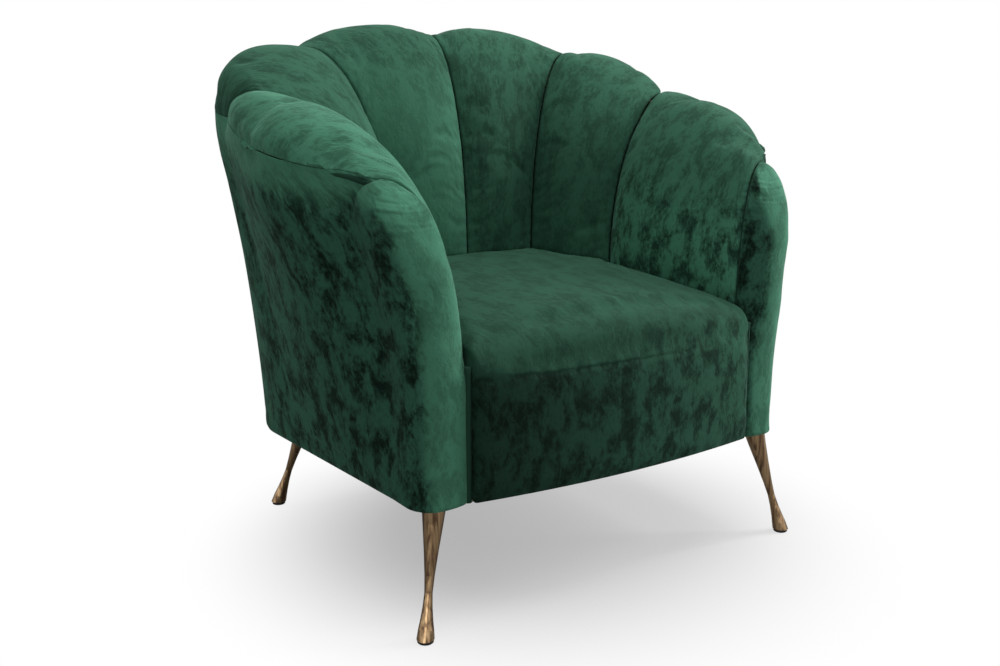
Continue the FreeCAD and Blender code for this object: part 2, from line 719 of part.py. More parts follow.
def add_legs():
    """Hourglass legs, level at the glide and at the frame, each with an upright stud that holds it."""
    foot, waist, top = size("legFoot"), size("legWaist"), size("legTop")
    waist_rise, rise = size("waistHeight") - size("glideHeight"), size("bottomHeight") - size("glideHeight")
    profile = [(waist_rise * along, mix(waist, foot, swell)) for along, swell in LEG_BELOW_WAIST]
    profile += [(mix(waist_rise, rise, along), mix(waist, top, swell)) for along, swell in LEG_ABOVE_WAIST]
    for end, leg in LEGS.items():
        rings = [ring(leg["foot"] + leg["lean"] * above, leg["lean"], diameter, above in (0, rise))
                 for above, diameter in profile]
        head = leg["foot"] + leg["lean"] * rise
        stud = faceted([ring(head + UP * level, UP, size("studDiameter"), True)
                        for level in (0, size("studLength"))])
        add_pair(f"leg_{end}", faceted(rings).fuse(stud))


def add_glides():
    """Plastic glide under each leg."""
    glides = []
    for end, leg in LEGS.items():
        body = turned(f"glide_{end}", [
            ("0", "0"),
            ("dims.glideDiameter / 2 - dims.glideChamfer", "0"),
            ("dims.glideDiameter / 2", "dims.glideChamfer"),
            ("dims.glideDiameter / 2", "dims.glideHeight"),
            ("0", "dims.glideHeight"),
        ])
        move_to(body, leg["x"], leg["y"])
        glides += [body, mirror_of(f"glide_{end}_left", body)]
    finish("leg_glides", group("leg_glides", glides))


def add_tee_nuts():
    """Tee nuts pressed into the leg blocks from above."""
    bore = "(dims.studDiameter + dims.drillClearance) / 2"
    nuts = []
    for end, leg in LEGS.items():
        body = turned(f"tee_nut_{end}", [
            (bore, "-dims.nutLength"),
            ("dims.nutBarrel / 2", "-dims.nutLength"),
            ("dims.nutBarrel / 2", "0"),
            ("dims.nutFlange / 2", "0"),
            ("dims.nutFlange / 2", "dims.nutFlangeThickness"),
            (bore, "dims.nutFlangeThickness"),
        ])
        move_to(body, leg["stud_x"], leg["stud_y"], f"{BASE_TOP} + dims.blockHeight")
        nuts += [body, mirror_of(f"tee_nut_{end}_left", body)]
    finish("leg_tee_nuts", group("leg_tee_nuts", nuts))


def stud_drills(name, z, diameter, length):
    """Drills at the four studs."""
    drills = []
    for end, leg in LEGS.items():
        for sign in ("", "-"):
            side = "left" if sign else "right"
            drills.append(rod(f"{name}_{end}_{side}", f"{sign}{leg['stud_x']}", leg["stud_y"], z,
                              diameter, length))
    return group(name, drills)


def base_corners(inset):
    """Plan of the base frame: straight front, sides that spread a little, straight back."""
    side = f"({BOTTOM_HALF} - {inset})"
    spread = f"({BOTTOM_HALF} + dims.sideSpread - {inset})"
    back = f"({REAR} - dims.rearTuck - {inset})"
    return [(f"-{side}", RAIL_FRONT), (side, RAIL_FRONT), (spread, back), (f"-{spread}", back)]


def round_base(body, inset):
    round_edges(body, f"{body.Name}_front_corners", "dims.baseFrontCorner", lambda spot: spot.y < 0)
    round_edges(body, f"{body.Name}_rear_corners", f"dims.bottomCorner - {inset}", lambda spot: spot.y > 0)


def add_base_frame():
    """Plywood frame, cut in one piece, that the panels, rails, posts and legs are fixed to."""
    inset = "(dims.panelPadding + dims.baseClearance)"
    body = slab("base_frame_ply", base_corners(inset), "dims.basePly")
    round_base(body, inset)
    half = f"({RAIL_IN} - dims.baseLip)"
    ahead = f"({RAIL_FRONT} + dims.railThickness + dims.baseLip)"
    behind = f"({RAIL_REAR} - dims.railThickness - dims.baseLip)"
    opening = body.newObject("PartDesign::Pocket", "base_frame_opening")
    opening.Profile = polygon(body, "base_frame_opening_sketch", "XY_Plane",
                              [(f"-{half}", ahead), (half, ahead), (half, behind), (f"-{half}", behind)])
    opening.Type = "ThroughAll"
    opening.Reversed = True
    body.Tip = opening
    move_to(body, z="dims.frameBottom")
    drills = stud_drills("base_frame_drills", "dims.frameBottom", "dims.studDiameter + dims.drillClearance",
                         "dims.basePly")
    finish("base_frame", cut("base_frame", body, drills))


def add_dust_cover():
    inset = "(dims.panelPadding + dims.baseClearance)"
    body = slab("dust_cover_cloth", base_corners(inset), "dims.dustCover")
    round_base(body, inset)
    move_to(body, z="dims.frameBottom - dims.dustCover")
    drills = stud_drills("dust_cover_drills", "dims.frameBottom - dims.dustCover",
                         "dims.studDiameter + dims.coverClearance", "dims.dustCover")
    finish("dust_cover", cut("dust_cover", body, drills))


def add_blocks():
    """Leg blocks on the base frame, each bored through for its tee nut."""
    for end, leg in LEGS.items():
        name = f"leg_block_{end}"
        if end == "front":
            left, right = RAIL_OUT, f"({BOTTOM_HALF} - dims.blockIn)"
            low = f"({FRONT} + dims.blockFront)"
        else:
            left = f"({leg['stud_x']} - dims.blockWidth / 2)"
            right = f"({leg['stud_x']} + dims.blockWidth / 2)"
            low = RAIL_REAR
        high = f"({low} + dims.blockLength)"
        body = slab(f"{name}_body", [(left, low), (right, low), (right, high), (left, high)],
                    "dims.blockHeight")
        if end == "front":
            round_edges(body, f"{name}_nose", f"min(dims.blockCorner; 0.49 * ({right} - {left}))",
                        lambda spot: spot.y < 0)
        else:
            round_edges(body, f"{name}_corner", "dims.blockCorner", lambda spot: min(spot.x, spot.y) > 0)
        move_to(body, z=BASE_TOP)
        drill = rod(f"{name}_nut_drill", leg["stud_x"], leg["stud_y"], BASE_TOP,
                    "dims.nutBarrel + dims.drillClearance", "dims.blockHeight")
        finish_pair(name, cut(f"{name}_drilled", body, drill))


def tenon_bar(name, low, clearance):
    """The tenons at both ends of a rail as one bar, with a clearance all round where it cuts the mortises."""
    reach = f"({RAIL_IN} + dims.tenonLength + {clearance})"
    thickness = f"(dims.tenonThickness + 2 * {clearance})"
    return box(name, f"-{reach}", f"{low} + (dims.railThickness - {thickness}) / 2",
               f"{BASE_TOP} + dims.tenonShoulder - {clearance}", f"2 * {reach}", thickness,
               f"dims.railHeight - 2 * (dims.tenonShoulder - {clearance})")


def add_rails():
    """Seat rails, tenoned together. The side rails stand a strap higher, under the crosswise webbing."""
    thick = "dims.railThickness"
    lows = {"seat_front_rail": RAIL_FRONT, "seat_rear_rail": f"({RAIL_REAR} - {thick})"}
    mortises = []
    for name, low in lows.items():
        rail = doc.addObject("Part::Fuse", name)
        rail.Base = box(f"{name}_box", f"-{RAIL_IN}", low, BASE_TOP, f"2 * {RAIL_IN}", thick,
                        "dims.railHeight")
        rail.Tool = tenon_bar(f"{name}_tenons", low, "0")
        finish(name, rail)
        mortises.append(tenon_bar(f"{name}_mortises", low, "dims.tenonClearance"))
    side_rail = box("seat_side_rail_box", RAIL_IN, RAIL_FRONT, BASE_TOP, thick, f"{RAIL_REAR} - {RAIL_FRONT}",
                    "dims.railHeight + dims.webbing")
    finish_pair("seat_side_rail", cut("seat_side_rail", side_rail, group("mortises", mortises)))


def add_webbing():
    """Straps over the front and rear rails, and straps across them over the side rails."""
    long_count, cross_count = 5, 4
    width = "dims.webbingWidth"
    straps = []
    for number in range(long_count):
        place_on = f"(2 * {number} / {long_count - 1} - 1) * ({RAIL_IN} - {width})"
        straps.append(box(f"strap_long_{number}", f"({place_on} - {width} / 2)", RAIL_FRONT, RAIL_TOP, width,
                          f"{RAIL_REAR} - {RAIL_FRONT}", "dims.webbing"))
    finish("seat_webbing_long", group("seat_webbing_long", straps))
    straps = []
    for number in range(cross_count):
        share = f"({number} + 1) / {cross_count + 1}"
        straps.append(box(f"strap_cross_{number}", f"-{RAIL_OUT}",
                          f"({RAIL_FRONT} + ({RAIL_REAR} - {RAIL_FRONT}) * {share} - {width} / 2)",
                          f"({RAIL_TOP} + dims.webbing)", f"2 * {RAIL_OUT}", width, "dims.webbing"))
    finish("seat_webbing_cross", group("seat_webbing_cross", straps))


def leaning_post(name, foot, head, section, low, high):
    """Square post between two levels, from a foot to a head given as x and y of its centre."""
    post = doc.addObject("Part::Wedge", name)
    half = section / 2
    # a wedge runs along its own Y, which is turned upright here, so its Z points to the front
    post.Xmin, post.Xmax = foot.x - half, foot.x + half
    post.Zmin, post.Zmax = -foot.y - half, -foot.y + half
    post.X2min, post.X2max = head.x - half, head.x + half
    post.Z2min, post.Z2max = -head.y - half, -head.y + half
    post.Ymin, post.Ymax = low, high
    post.Placement = Placement(Vector(), Rotation(Vector(1, 0, 0), 90))
    return post


def post_head(at, inwards, below):
    """Centre of a post's head under the curved rail, and its level."""
    spot = place(at, at["lean"] - inwards, 0)
    return spot, rail_top_at(at) - below


def add_posts_and_curved_rails():
    """Posts on the base frame, and the curved plywood rails that are notched over their heads."""
    notch = size("postNotch")
    arm = station(0, 0.1)
    arm_section, back_section = size("armPost"), size("backPost")
    arm_spot, arm_head = post_head(arm, 10, notch)
    arm_foot = Vector(seat_half - size("railInset") + size("railThickness") + arm_section / 2,
                      front + size("armPostSetback") + arm_section / 2, 0)
    arm_post = leaning_post("arm_post_right", arm_foot, Vector(arm_spot.x, arm_foot.y, 0), arm_section,
                            base_top, arm_head)
    corner, middle = station(1, 1), station(2, 1)
    corner_spot, corner_head = post_head(corner, -4, notch)
    middle_spot, middle_head = post_head(middle, 0, notch)
    foot_y = rear - size("backPostAhead") - back_section / 2
    stud = LEGS["rear"]["foot"].x - size("rearLeanX") * (size("bottomHeight") - size("glideHeight"))
    back_post = leaning_post("back_post_right", Vector(stud - size("backPostIn"), foot_y, 0), corner_spot,
                             back_section, base_top, corner_head)
    centre_post = leaning_post("back_centre_post", Vector(0, foot_y, 0), middle_spot, back_section, base_top,
                               middle_head)
    doc.recompute()
    arm_rail = Part.makeLoft([rail_wire(station(0, share)) for share in SHARES], True, True)
    spots = [(1, share) for share in SHARES] + [(2, share) for share in SHARES[1:]]
    right = [rail_wire(station(*spot)) for spot in spots]
    left = [mirrored(wire) for wire in reversed(right[:-1])]
    back_rail = Part.makeLoft(right + left, True, True)
    for post in (back_post.Shape, mirrored(back_post.Shape), centre_post.Shape):
        back_rail = back_rail.cut(post)
    add_pair("arm_top_rail", arm_rail.cut(arm_post.Shape))
    add_shape("back_top_rail", back_rail)
    finish_pair("arm_post", arm_post)
    finish_pair("back_post", back_post)
    finish("back_centre_post", centre_post)


def check_document():
    for thing in doc.Objects:
        if "Invalid" in thing.State or "Error" in thing.State:
            raise RuntimeError(f"{thing.Name} did not build: {thing.State}")
    for part in sub_parts:
        if part.Shape.isNull() or not part.Shape.isValid():
            raise RuntimeError(f"{part.Label} has no valid shape")


add_channels()
add_outer_panels()
add_arm_front_pads()
add_seat()
add_legs()
add_glides()
add_tee_nuts()
add_base_frame()
add_dust_cover()
add_blocks()
add_rails()
add_webbing()
add_posts_and_curved_rails()
doc.recompute()
check_document()

os.makedirs("parts", exist_ok=True)
for part in sub_parts:
    part.Shape.exportStep(f"parts/{part.Label}.step")
    print(f"{part.Label}: {len(part.Shape.Solids)} solid(s), {part.Shape.Volume / 1000:.1f} cm3")
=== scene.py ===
import bmesh
import bpy
import math

import numpy as np
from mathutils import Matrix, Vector


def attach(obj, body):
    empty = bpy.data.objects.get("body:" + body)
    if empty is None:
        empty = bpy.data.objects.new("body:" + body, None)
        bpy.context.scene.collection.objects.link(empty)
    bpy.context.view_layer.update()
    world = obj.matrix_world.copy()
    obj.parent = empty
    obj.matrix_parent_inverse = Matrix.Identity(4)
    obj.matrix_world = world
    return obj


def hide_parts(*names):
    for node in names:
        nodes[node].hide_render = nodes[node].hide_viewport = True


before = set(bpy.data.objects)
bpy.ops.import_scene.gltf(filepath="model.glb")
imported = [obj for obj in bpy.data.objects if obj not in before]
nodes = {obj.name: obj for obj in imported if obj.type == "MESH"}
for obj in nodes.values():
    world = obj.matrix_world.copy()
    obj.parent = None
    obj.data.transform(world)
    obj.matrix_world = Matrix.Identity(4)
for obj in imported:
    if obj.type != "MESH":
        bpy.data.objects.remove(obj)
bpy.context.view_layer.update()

bpy.ops.object.select_all(action="DESELECT")
print("frame loaded")

# The shell in millimetres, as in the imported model: floor z = 0, front -y, x = 0 in the middle.
# Everything is laid out for the right half, and the left one is its mirror.
shell = {
    "front": -302.1,
    "rear": 319.9,
    "seatHalf": 266.0,
    "bottomHalf": 345.0,
    "bottom": 176.0,  # the lower edge
    "sideSpread": 27.0,
    "rearTuck": 27.0,
    "corner": 130.0,  # rounding of the lower edge's rear corners
    "roll": 45.0,  # radius of the roll over the rim
    "crown": 36.0,  # how far a channel's padding stands out at the rim
    "seatLineCrown": 10.0,  # and at the seat
    "foot": 311.0,  # where the channels end behind the seat
    "skew": 42.0,  # how far the seam of arm and back leans towards the back over the rim
    "rimLift": 0.2,  # how much of the padding's swell also lifts it
}
front, rear, roll = shell["front"], shell["rear"], shell["roll"]

# The seams between the channels, from the arm's front to the middle of the back. Each runs from its base at
# the seat over its crest on the rim to the hem outside, and the outer panel below it is slightly hollow.
seams = [
    {"base": (266, front + 38, 400), "crest": (345, front + 75, 617), "reach": 2, "shoulder": 60,
     "hem": 12, "hollow": 20},
    {"base": (235, rear - 297, 430), "crest": (388, rear - 260, 722), "reach": 13, "shoulder": 62,
     "hem": 66, "hollow": 6},
    {"base": (148, rear - 172, 445), "crest": (265, rear - 110, 808), "reach": 40, "shoulder": 70,
     "hem": 84, "hollow": 0},
    {"base": (0, rear - 184, 445), "crest": (0, rear - 60, 837), "reach": 12, "shoulder": 78,
     "hem": 92, "hollow": 0},
]
# Between its two seams a channel sweeps outwards, arches up, and its hem drops.
channels = [
    {"name": "armChannel", "node": "arm_channel", "sweep": 43, "arch": 36, "skirt": 20, "drop": 40,
     "columns": 48, "fullness": 1.7},
    {"name": "backCorner", "node": "back_channel_corner", "sweep": 60, "arch": 31, "skirt": 8, "drop": 30,
     "columns": 40, "fullness": 2.3},
    {"name": "backCentre", "node": "back_channel_centre", "sweep": 34, "arch": 26, "skirt": 4, "drop": 24,
     "columns": 40, "fullness": 2.3},
]
plainFullness = 2.3  # of every channel's second half


def mix(first, second, share):
    return first + (second - first) * share


def smooth(low, high, value):
    share = np.clip((value - low) / (high - low), 0, 1)
    return share * share * (3 - 2 * share)


def skewShare(index, share):
    if index == 0:
        return float(smooth(0.45, 1, share))
    return float(1 - smooth(0, 0.5, share)) if index == 1 else 0


# One upright cut through a channel: share 0 is its front seam and 1 its rear seam.
def station(index, share):
    start, end, channel = seams[index], seams[index + 1], channels[index]
    swell = 4 * share * (1 - share)
    startCrest, endCrest = np.array(start["crest"], float), np.array(end["crest"], float)
    across = endCrest - startCrest
    outward = np.array((across[1], -across[0], 0)) / math.hypot(across[0], across[1])
    base = mix(np.array(start["base"], float), np.array(end["base"], float), share)
    crest = mix(startCrest, endCrest, share) + outward * channel["sweep"] * swell
    crest[2] += channel["arch"] * swell
    run = np.array((crest[0] - base[0], crest[1] - base[1], 0))
    lean = float(np.linalg.norm(run))
    shoulder = mix(start["shoulder"], end["shoulder"], share) + (channel["arch"] + channel["skirt"]) * swell
    fullness = channel["fullness"] if share < 0.5 else plainFullness
    plump = 1 - abs(2 * share - 1) ** fullness  # padding stands up steeply beside a seam
    return {
        "base": base,
        "rise": crest[2] - base[2],
        "lean": lean,
        "direction": run / lean,
        "reach": roll + mix(start["reach"], end["reach"], share) * (1 - swell * 0.6),
        "shoulder": crest[2] - shoulder,
        "hem": mix(start["hem"], end["hem"], share) + channel["drop"] * swell,
        "crown": shell["crown"] * plump,
        "squeezed": shell["seatLineCrown"] * plump,
        "hollow": mix(start["hollow"], end["hollow"], share),
        "skew": skewShare(index, share) * shell["skew"],
    }


def place(at, run, level):
    return np.array((at["base"][0], at["base"][1], 0)) + at["direction"] * run + np.array((0, 0, level))


def alongRim(at):
    return np.array((-at["direction"][1], at["direction"][0], 0))


def facePoint(at, angle):
    swell = at["squeezed"] + (at["crown"] - at["squeezed"]) * math.sin(angle) ** 0.5
    fade = 1 - float(smooth(math.radians(68), math.radians(90), angle))  # none is left on the crest
    lift = swell * math.sin(angle) * shell["rimLift"] * fade
    run = at["lean"] * (1 - math.cos(angle)) - swell * math.cos(angle)
    return place(at, run, at["base"][2] + at["rise"] * math.sin(angle) + lift)


def resample(path, count):
    path = np.array(path)
    lengths = np.concatenate(([0], np.cumsum(np.linalg.norm(np.diff(path, axis=0), axis=1))))
    wanted = np.linspace(0, lengths[-1], count)
    return np.stack([np.interp(wanted, lengths, path[:, axis]) for axis in range(3)], axis=1)


# The way over the rim: distance in millimetres from the crest, outwards and down.
def overRim(at, distance, inset=0.0):
    crest = at["base"][2] + at["rise"]
    turn = min(distance / roll, math.pi / 2)
    beyond = distance - roll * turn
    level = crest - roll + (roll - inset) * math.cos(turn) - beyond
    outwards = (at["reach"] - roll) * beyond / (crest - roll - at["shoulder"])
    back = alongRim(at) * at["skew"] * float(smooth(-25, 75, distance))
    return place(at, at["lean"] + (roll - inset) * math.sin(turn) + outwards, level) + back


def shoulderDistance(at):
    return roll * math.pi / 2 + at["base"][2] + at["rise"] - roll - at["shoulder"]


def channelPath(at):
    path = [place(at, -at["squeezed"], level) for level in np.linspace(shell["foot"], at["base"][2], 12)[:-1]]
    back = overRim(at, 0) - place(at, at["lean"], at["base"][2] + at["rise"])
    path += [facePoint(at, math.radians(angle)) + back * float(smooth(60, 90, angle))
             for angle in np.linspace(0, 90, 60)]
    return path + [overRim(at, distance) for distance in np.linspace(0, at["hem"], 24)[1:]]


def lowerOutline():
    back, side, radius = rear - shell["rearTuck"], shell["bottomHalf"] + shell["sideSpread"], shell["corner"]
    bend = [(side - radius + radius * math.cos(turn), back - radius + radius * math.sin(turn))
            for turn in np.radians(np.linspace(0, 90, 40))]
    return [(shell["bottomHalf"], front)] + bend + [(-30, back)]


outline = lowerOutline()


def lowerRun(at):
    start, along = at["base"][:2], at["direction"][:2]
    for first, last in zip(outline[:-1], outline[1:]):
        edge = np.subtract(last, first)
        turn = along[0] * edge[1] - along[1] * edge[0]
        if abs(turn) < 1e-9:
            continue
        offset = np.subtract(first, start)
        run = (offset[0] * edge[1] - offset[1] * edge[0]) / turn
        share = (offset[0] * along[1] - offset[1] * along[0]) / turn
        if -1e-6 <= share <= 1 + 1e-6 and run > 0:
            return run
    return at["lean"]


def panelRun(at, level):
    share = (level - shell["bottom"]) / (at["shoulder"] - shell["bottom"])
    straight = mix(at["lower"], at["lean"] + at["reach"], share)
    return straight - at["hollow"] * 4 * share * (1 - share)


def panelStation(index, share):
    at = station(index, share)
    at["lower"] = lowerRun(at)
    return at


def panelPath(at, count):
    skewed = alongRim(at) * at["skew"]
    path = [place(at, panelRun(at, level), level) + skewed * float(smooth(320, at["shoulder"], level))
            for level in np.linspace(shell["bottom"], at["shoulder"], 50)]
    rest = np.linspace(shoulderDistance(at), at["hem"] + 0.4, 30)[1:]  # up to just under the channel's hem
    path += [overRim(at, distance) for distance in rest]
    return tight(resample(path, count))


# The roll is fuller where the arm's channel ends: over its front seam and at the back corner.
swellings = [
    {"middle": (374, -214, 604), "shift": (7, 3, 9), "reach": 85},
    {"middle": (418, 94, 706), "shift": (12, 14, 18), "reach": 125},
]


def filledOut(points):
    for swelling in swellings:
        away = np.linalg.norm(points - np.array(swelling["middle"]), axis=-1, keepdims=True)
        share = np.clip(1 - (away / swelling["reach"]) ** 2, 0, 1) ** 2
        points = points + share * np.array(swelling["shift"], float)
    return points


def tight(path, gap=0.6):
    path = np.array(path)
    back = path[-2] - path[-1]
    path[-2] = path[-1] + back * gap / np.linalg.norm(back)  # a close last row keeps the hem's edge narrow
    return path


# A sheet of cloth from a grid of points. Its UV map "nap" is in metres of cloth, so a pattern keeps its size.
def makeSheet(name, points, mirror=False, mask=None, flip=False):
    count, rows = points.shape[:2]
    points = filledOut(points)
    if mirror:
        points[..., 0] *= -1
        flip = not flip
    keep = np.ones((count, rows), bool) if mask is None else mask
    index = -np.ones((count, rows), int)
    index[keep] = np.arange(keep.sum())
    wide = np.linalg.norm(np.diff(points, axis=0), axis=2)
    long = np.linalg.norm(np.diff(points, axis=1), axis=2)
    across = np.cumsum(np.concatenate((np.zeros((1, rows)), wide)), axis=0)
    along = np.cumsum(np.concatenate((np.zeros((count, 1)), long), axis=1), axis=1)
    across = across - across[-1:] / 2  # nap coordinates are measured from the middle of the piece
    faces, corners = [], []
    for column in range(count - 1):
        for row in range(rows - 1):
            spots = [(column, row), (column + 1, row), (column + 1, row + 1), (column, row + 1)]
            if flip:
                spots.reverse()
            ids = [int(index[spot]) for spot in spots]
            if min(ids) >= 0:
                faces.append(ids)
                corners += [(across[spot] / 1000, along[spot] / 1000) for spot in spots]
    mesh = bpy.data.meshes.new(name)
    mesh.from_pydata((points[keep] / 1000).tolist(), [], faces)
    layer = mesh.uv_layers.new(name="nap")
    layer.data.foreach_set("uv", np.array(corners, np.float32).ravel())
    below = mesh.attributes.new("below", "FLOAT", "POINT")
    below.data.foreach_set("value", (along[:, -1:] - along)[keep].astype(np.float32))
    piece = bpy.data.objects.new(name, mesh)
    bpy.context.scene.collection.objects.link(piece)
    return piece


def borderVertices(piece):
    shape = bmesh.new()
    shape.from_mesh(piece.data)
    found = [vertex.index for vertex in shape.verts if vertex.is_boundary]
    shape.free()
    return found


# The covers' filling: the cloth's values, and the most it may move and the padding's wall in millimetres.
filling = {
    "steps": 20, "quality": 5, "mass": 0.3, "pressure": 4,
    "tension": 25, "compression": 8, "shear": 8, "bending": 0.4,
    "cap": 6.0, "thickness": 10.0,
}
soft = []


def addSoft(piece, replaced, shrink):
    soft.append({"piece": piece, "nodes": replaced, "shrink": shrink})  # below 0 the cloth is cut too large


channelRows = 112
seamGap = 0.15  # two channels stand this far from the seam between them
for index, channel in enumerate(channels):
    columns = []
    for share in np.linspace(0, 1, channel["columns"]):
        at = station(index, share)
        spots = tight(resample(channelPath(at), channelRows))
        columns.append(spots + alongRim(at) * seamGap * (1 - 2 * share if share in (0, 1) else 0))
    grid = np.array(columns)
    for side, mirror in (("Right", False), ("Left", True)):
        piece = makeSheet(channel["name"] + side, grid, mirror, flip=True)
        addSoft(piece, [channel["node"] + "_" + side.lower()], shrink=-0.015)
print("channels laid out")

# The padded roll at an arm's front: how far its nose lies behind the front plane at each level, and how far
# back it turns in towards the seat, below the seat's top and above it.
frontPad = {
    "noses": [(176, 0), (290.7, -1), (400.9, -6), (500.1, 0), (539.8, 12), (565, 24), (587, 38), (605.1, 55),
              (614.8, 68), (617, 74.6)],
    "setbackLow": 12.5, "setbackHigh": 38, "seatTop": (350, 398),
    "overCrest": (10, 7, 4, 1.5),  # its last points, millimetres from the crest
}
padLevels, padDepths = np.array(frontPad["noses"], float).T
coverRows = 66


def padColumns(end, at):
    level = end[2]
    sine = min(1, max(0, (level - at["base"][2]) / at["rise"]))
    start = place(at, at["lean"] * (1 - math.sqrt(1 - sine ** 2)), level)
    nose = float(np.interp(level, padLevels, padDepths))
    tip = np.array(((start[0] + end[0]) / 2, min(front + nose, start[1] - 0.2), level))
    above = float(smooth(*frontPad["seatTop"], level))
    setback = mix(frontPad["setbackLow"], frontPad["setbackHigh"], above)
    turnIn = min(start[1], max(tip[1] + 1, front + setback))
    inner, outer = tip[0] - start[0], end[0] - tip[0]
    turnOut = min(tip[1] + outer, end[1] - 0.2)
    turns = np.radians(np.linspace(0, 90, 12))
    near = [(tip[0] - inner * math.cos(turn), turnIn - (turnIn - tip[1]) * math.sin(turn), level)
            for turn in turns]
    far = [(tip[0] + outer * math.sin(turn), turnOut - (turnOut - tip[1]) * math.cos(turn), level)
           for turn in turns]
    return resample([tuple(start)] + near + far[1:] + [tuple(end)], 30)


# The pad and the outer side are one cover. Only the pad's columns go on past the hem, up to the crest.
def armCover():
    rows = coverRows
    at = panelStation(0, 0)
    edge = list(panelPath(at, rows)) + [overRim(at, distance) for distance in frontPad["overCrest"]]
    pad = np.stack([padColumns(end, at) for end in edge], axis=1)
    spots = [(index, share) for index in (0, 1) for share in np.linspace(0, 1, 36)[1:]]
    side = []
    for spot in spots:
        column = list(panelPath(panelStation(*spot), rows))
        side.append(column + [column[-1]] * (len(edge) - rows))
    grid = np.concatenate((pad, np.array(side)))
    mask = np.ones(grid.shape[:2], bool)
    mask[len(pad):, rows:] = False
    return grid, mask


grid, mask = armCover()
for side, mirror in (("Right", False), ("Left", True)):
    piece = makeSheet("armCover" + side, grid, mirror, mask)
    addSoft(piece, ["outer_side_panel_" + side.lower(), "arm_front_pad_" + side.lower()], shrink=0.0)


def backCover():
    half = np.array([panelPath(panelStation(2, share), coverRows) for share in np.linspace(0, 1, 40)])
    other = half[::-1][1:].copy()
    other[..., 0] *= -1
    return np.concatenate((half, other))


piece = makeSheet("backCover", backCover())
addSoft(piece, ["outer_back_panel"], shrink=0.0)
print("covers laid out")

# The seat: heights and swells of its cover, and the sewn seam across its front with its dip.
seat = {
    "sideHeight": 398, "rearRise": 36, "crown": 24, "fullness": 32, "rearEdge": rear - 164,
    "bulge": 20, "bulgeSide": 4, "nose": 34, "foot": 176.5, "seam": 356, "tuck": 4, "tuckWidth": 3.5,
    "gap": 1.2,  # between the seat and the channels
}


def seatEdge(index, share):
    at = station(index, share)
    return place(at, -at["squeezed"] - seat["gap"], 0)


def sideCurve(count):
    spots = [seatEdge(0, share) for share in np.linspace(0, 1, 60)]
    spots += [seatEdge(1, share) for share in np.linspace(0, 1, 40)[1:]]
    return resample(spots, count)


def rearCurve(count):
    half = np.array([seatEdge(2, share) for share in np.linspace(0, 1, 40)])
    half[:, 0] = np.maximum(0, half[:, 0])
    other = half[::-1][1:] * np.array((-1, 1, 1))
    return resample(np.concatenate((half, other)), count)


def bow(x):
    return 1 - (x / shell["seatHalf"]) ** 2


def seatFace(x):
    return front - seat["bulgeSide"] - seat["bulge"] * bow(x)


def seatHeight(x, y):
    start = seatFace(x) + seat["nose"]
    along = np.clip((y - start) / (seat["rearEdge"] - start), 0, 1)
    rise = seat["rearRise"] * along + seat["fullness"] * along * (1 - along)
    return seat["sideHeight"] + seat["crown"] * bow(x) + rise


# The seat's cover: a patch between the channels' feet, drawn over the nose and down to the lower edge.
def seatSheet():
    columns, rows = 84, 66
    right = sideCurve(rows)
    left = right * np.array((-1, 1, 1))
    back = rearCurve(columns)
    x = right[0][0]
    ahead = np.stack([np.linspace(x, -x, columns), np.full(columns, right[0][1]), np.zeros(columns)], axis=1)
    grid = np.zeros((columns, rows, 3))
    for column in range(columns):
        u = column / (columns - 1)
        for row in range(rows):
            v = row / (rows - 1)
            sides = mix(right[row], left[row], u)
            ends = mix(ahead[column], back[column], v)
            corners = mix(mix(right[0], left[0], u), mix(right[-1], left[-1], u), v)
            grid[column, row] = sides + ends - corners
    top = []
    for column in range(columns):
        x = grid[column, 0, 0]
        face = seatFace(x)
        nose = seat["nose"]
        tuck = seat["tuck"] * (1 - 0.8 * float(smooth(-60, 240, x)))  # the seam's dip fades to the right
        level = seat["sideHeight"] + seat["crown"] * bow(x)
        corner = max(seat["seam"] + 7, level - nose)
        levels = list(np.linspace(seat["foot"], seat["seam"] - 14, 24))
        levels += [seat["seam"] + step for step in (-9, -5.5, -2.5, 0, 2.5, 5)]
        seamRows = len(levels)
        path = []
        for z in levels:
            tuckedIn = 4 * (1 - float(smooth(shell["bottom"], shell["bottom"] + 6, z)))  # at the lower edge
            full = 2 * math.sin(math.pi * (z - shell["bottom"]) / 180)
            dip = tuck * math.exp(-((z - seat["seam"]) / seat["tuckWidth"]) ** 2)
            path.append((x, face + tuckedIn - full + dip, z))
        path += [(x, face + nose * (1 - math.cos(turn)), mix(corner, level, math.sin(turn)))
                 for turn in np.radians(np.linspace(0, 90, 14))]
        first = grid[column, 0, 1]
        path += [(x, mix(face + nose, first, share), seatHeight(x, mix(face + nose, first, share)))
                 for share in np.linspace(0.2, 1, 5)]
        path = path[:seamRows] + list(resample(path[seamRows - 1:], 23))[1:]
        for spot in grid[column, 1:]:
            path.append((spot[0], spot[1], seatHeight(spot[0], spot[1])))
        top.append(path)
    return np.array(top)


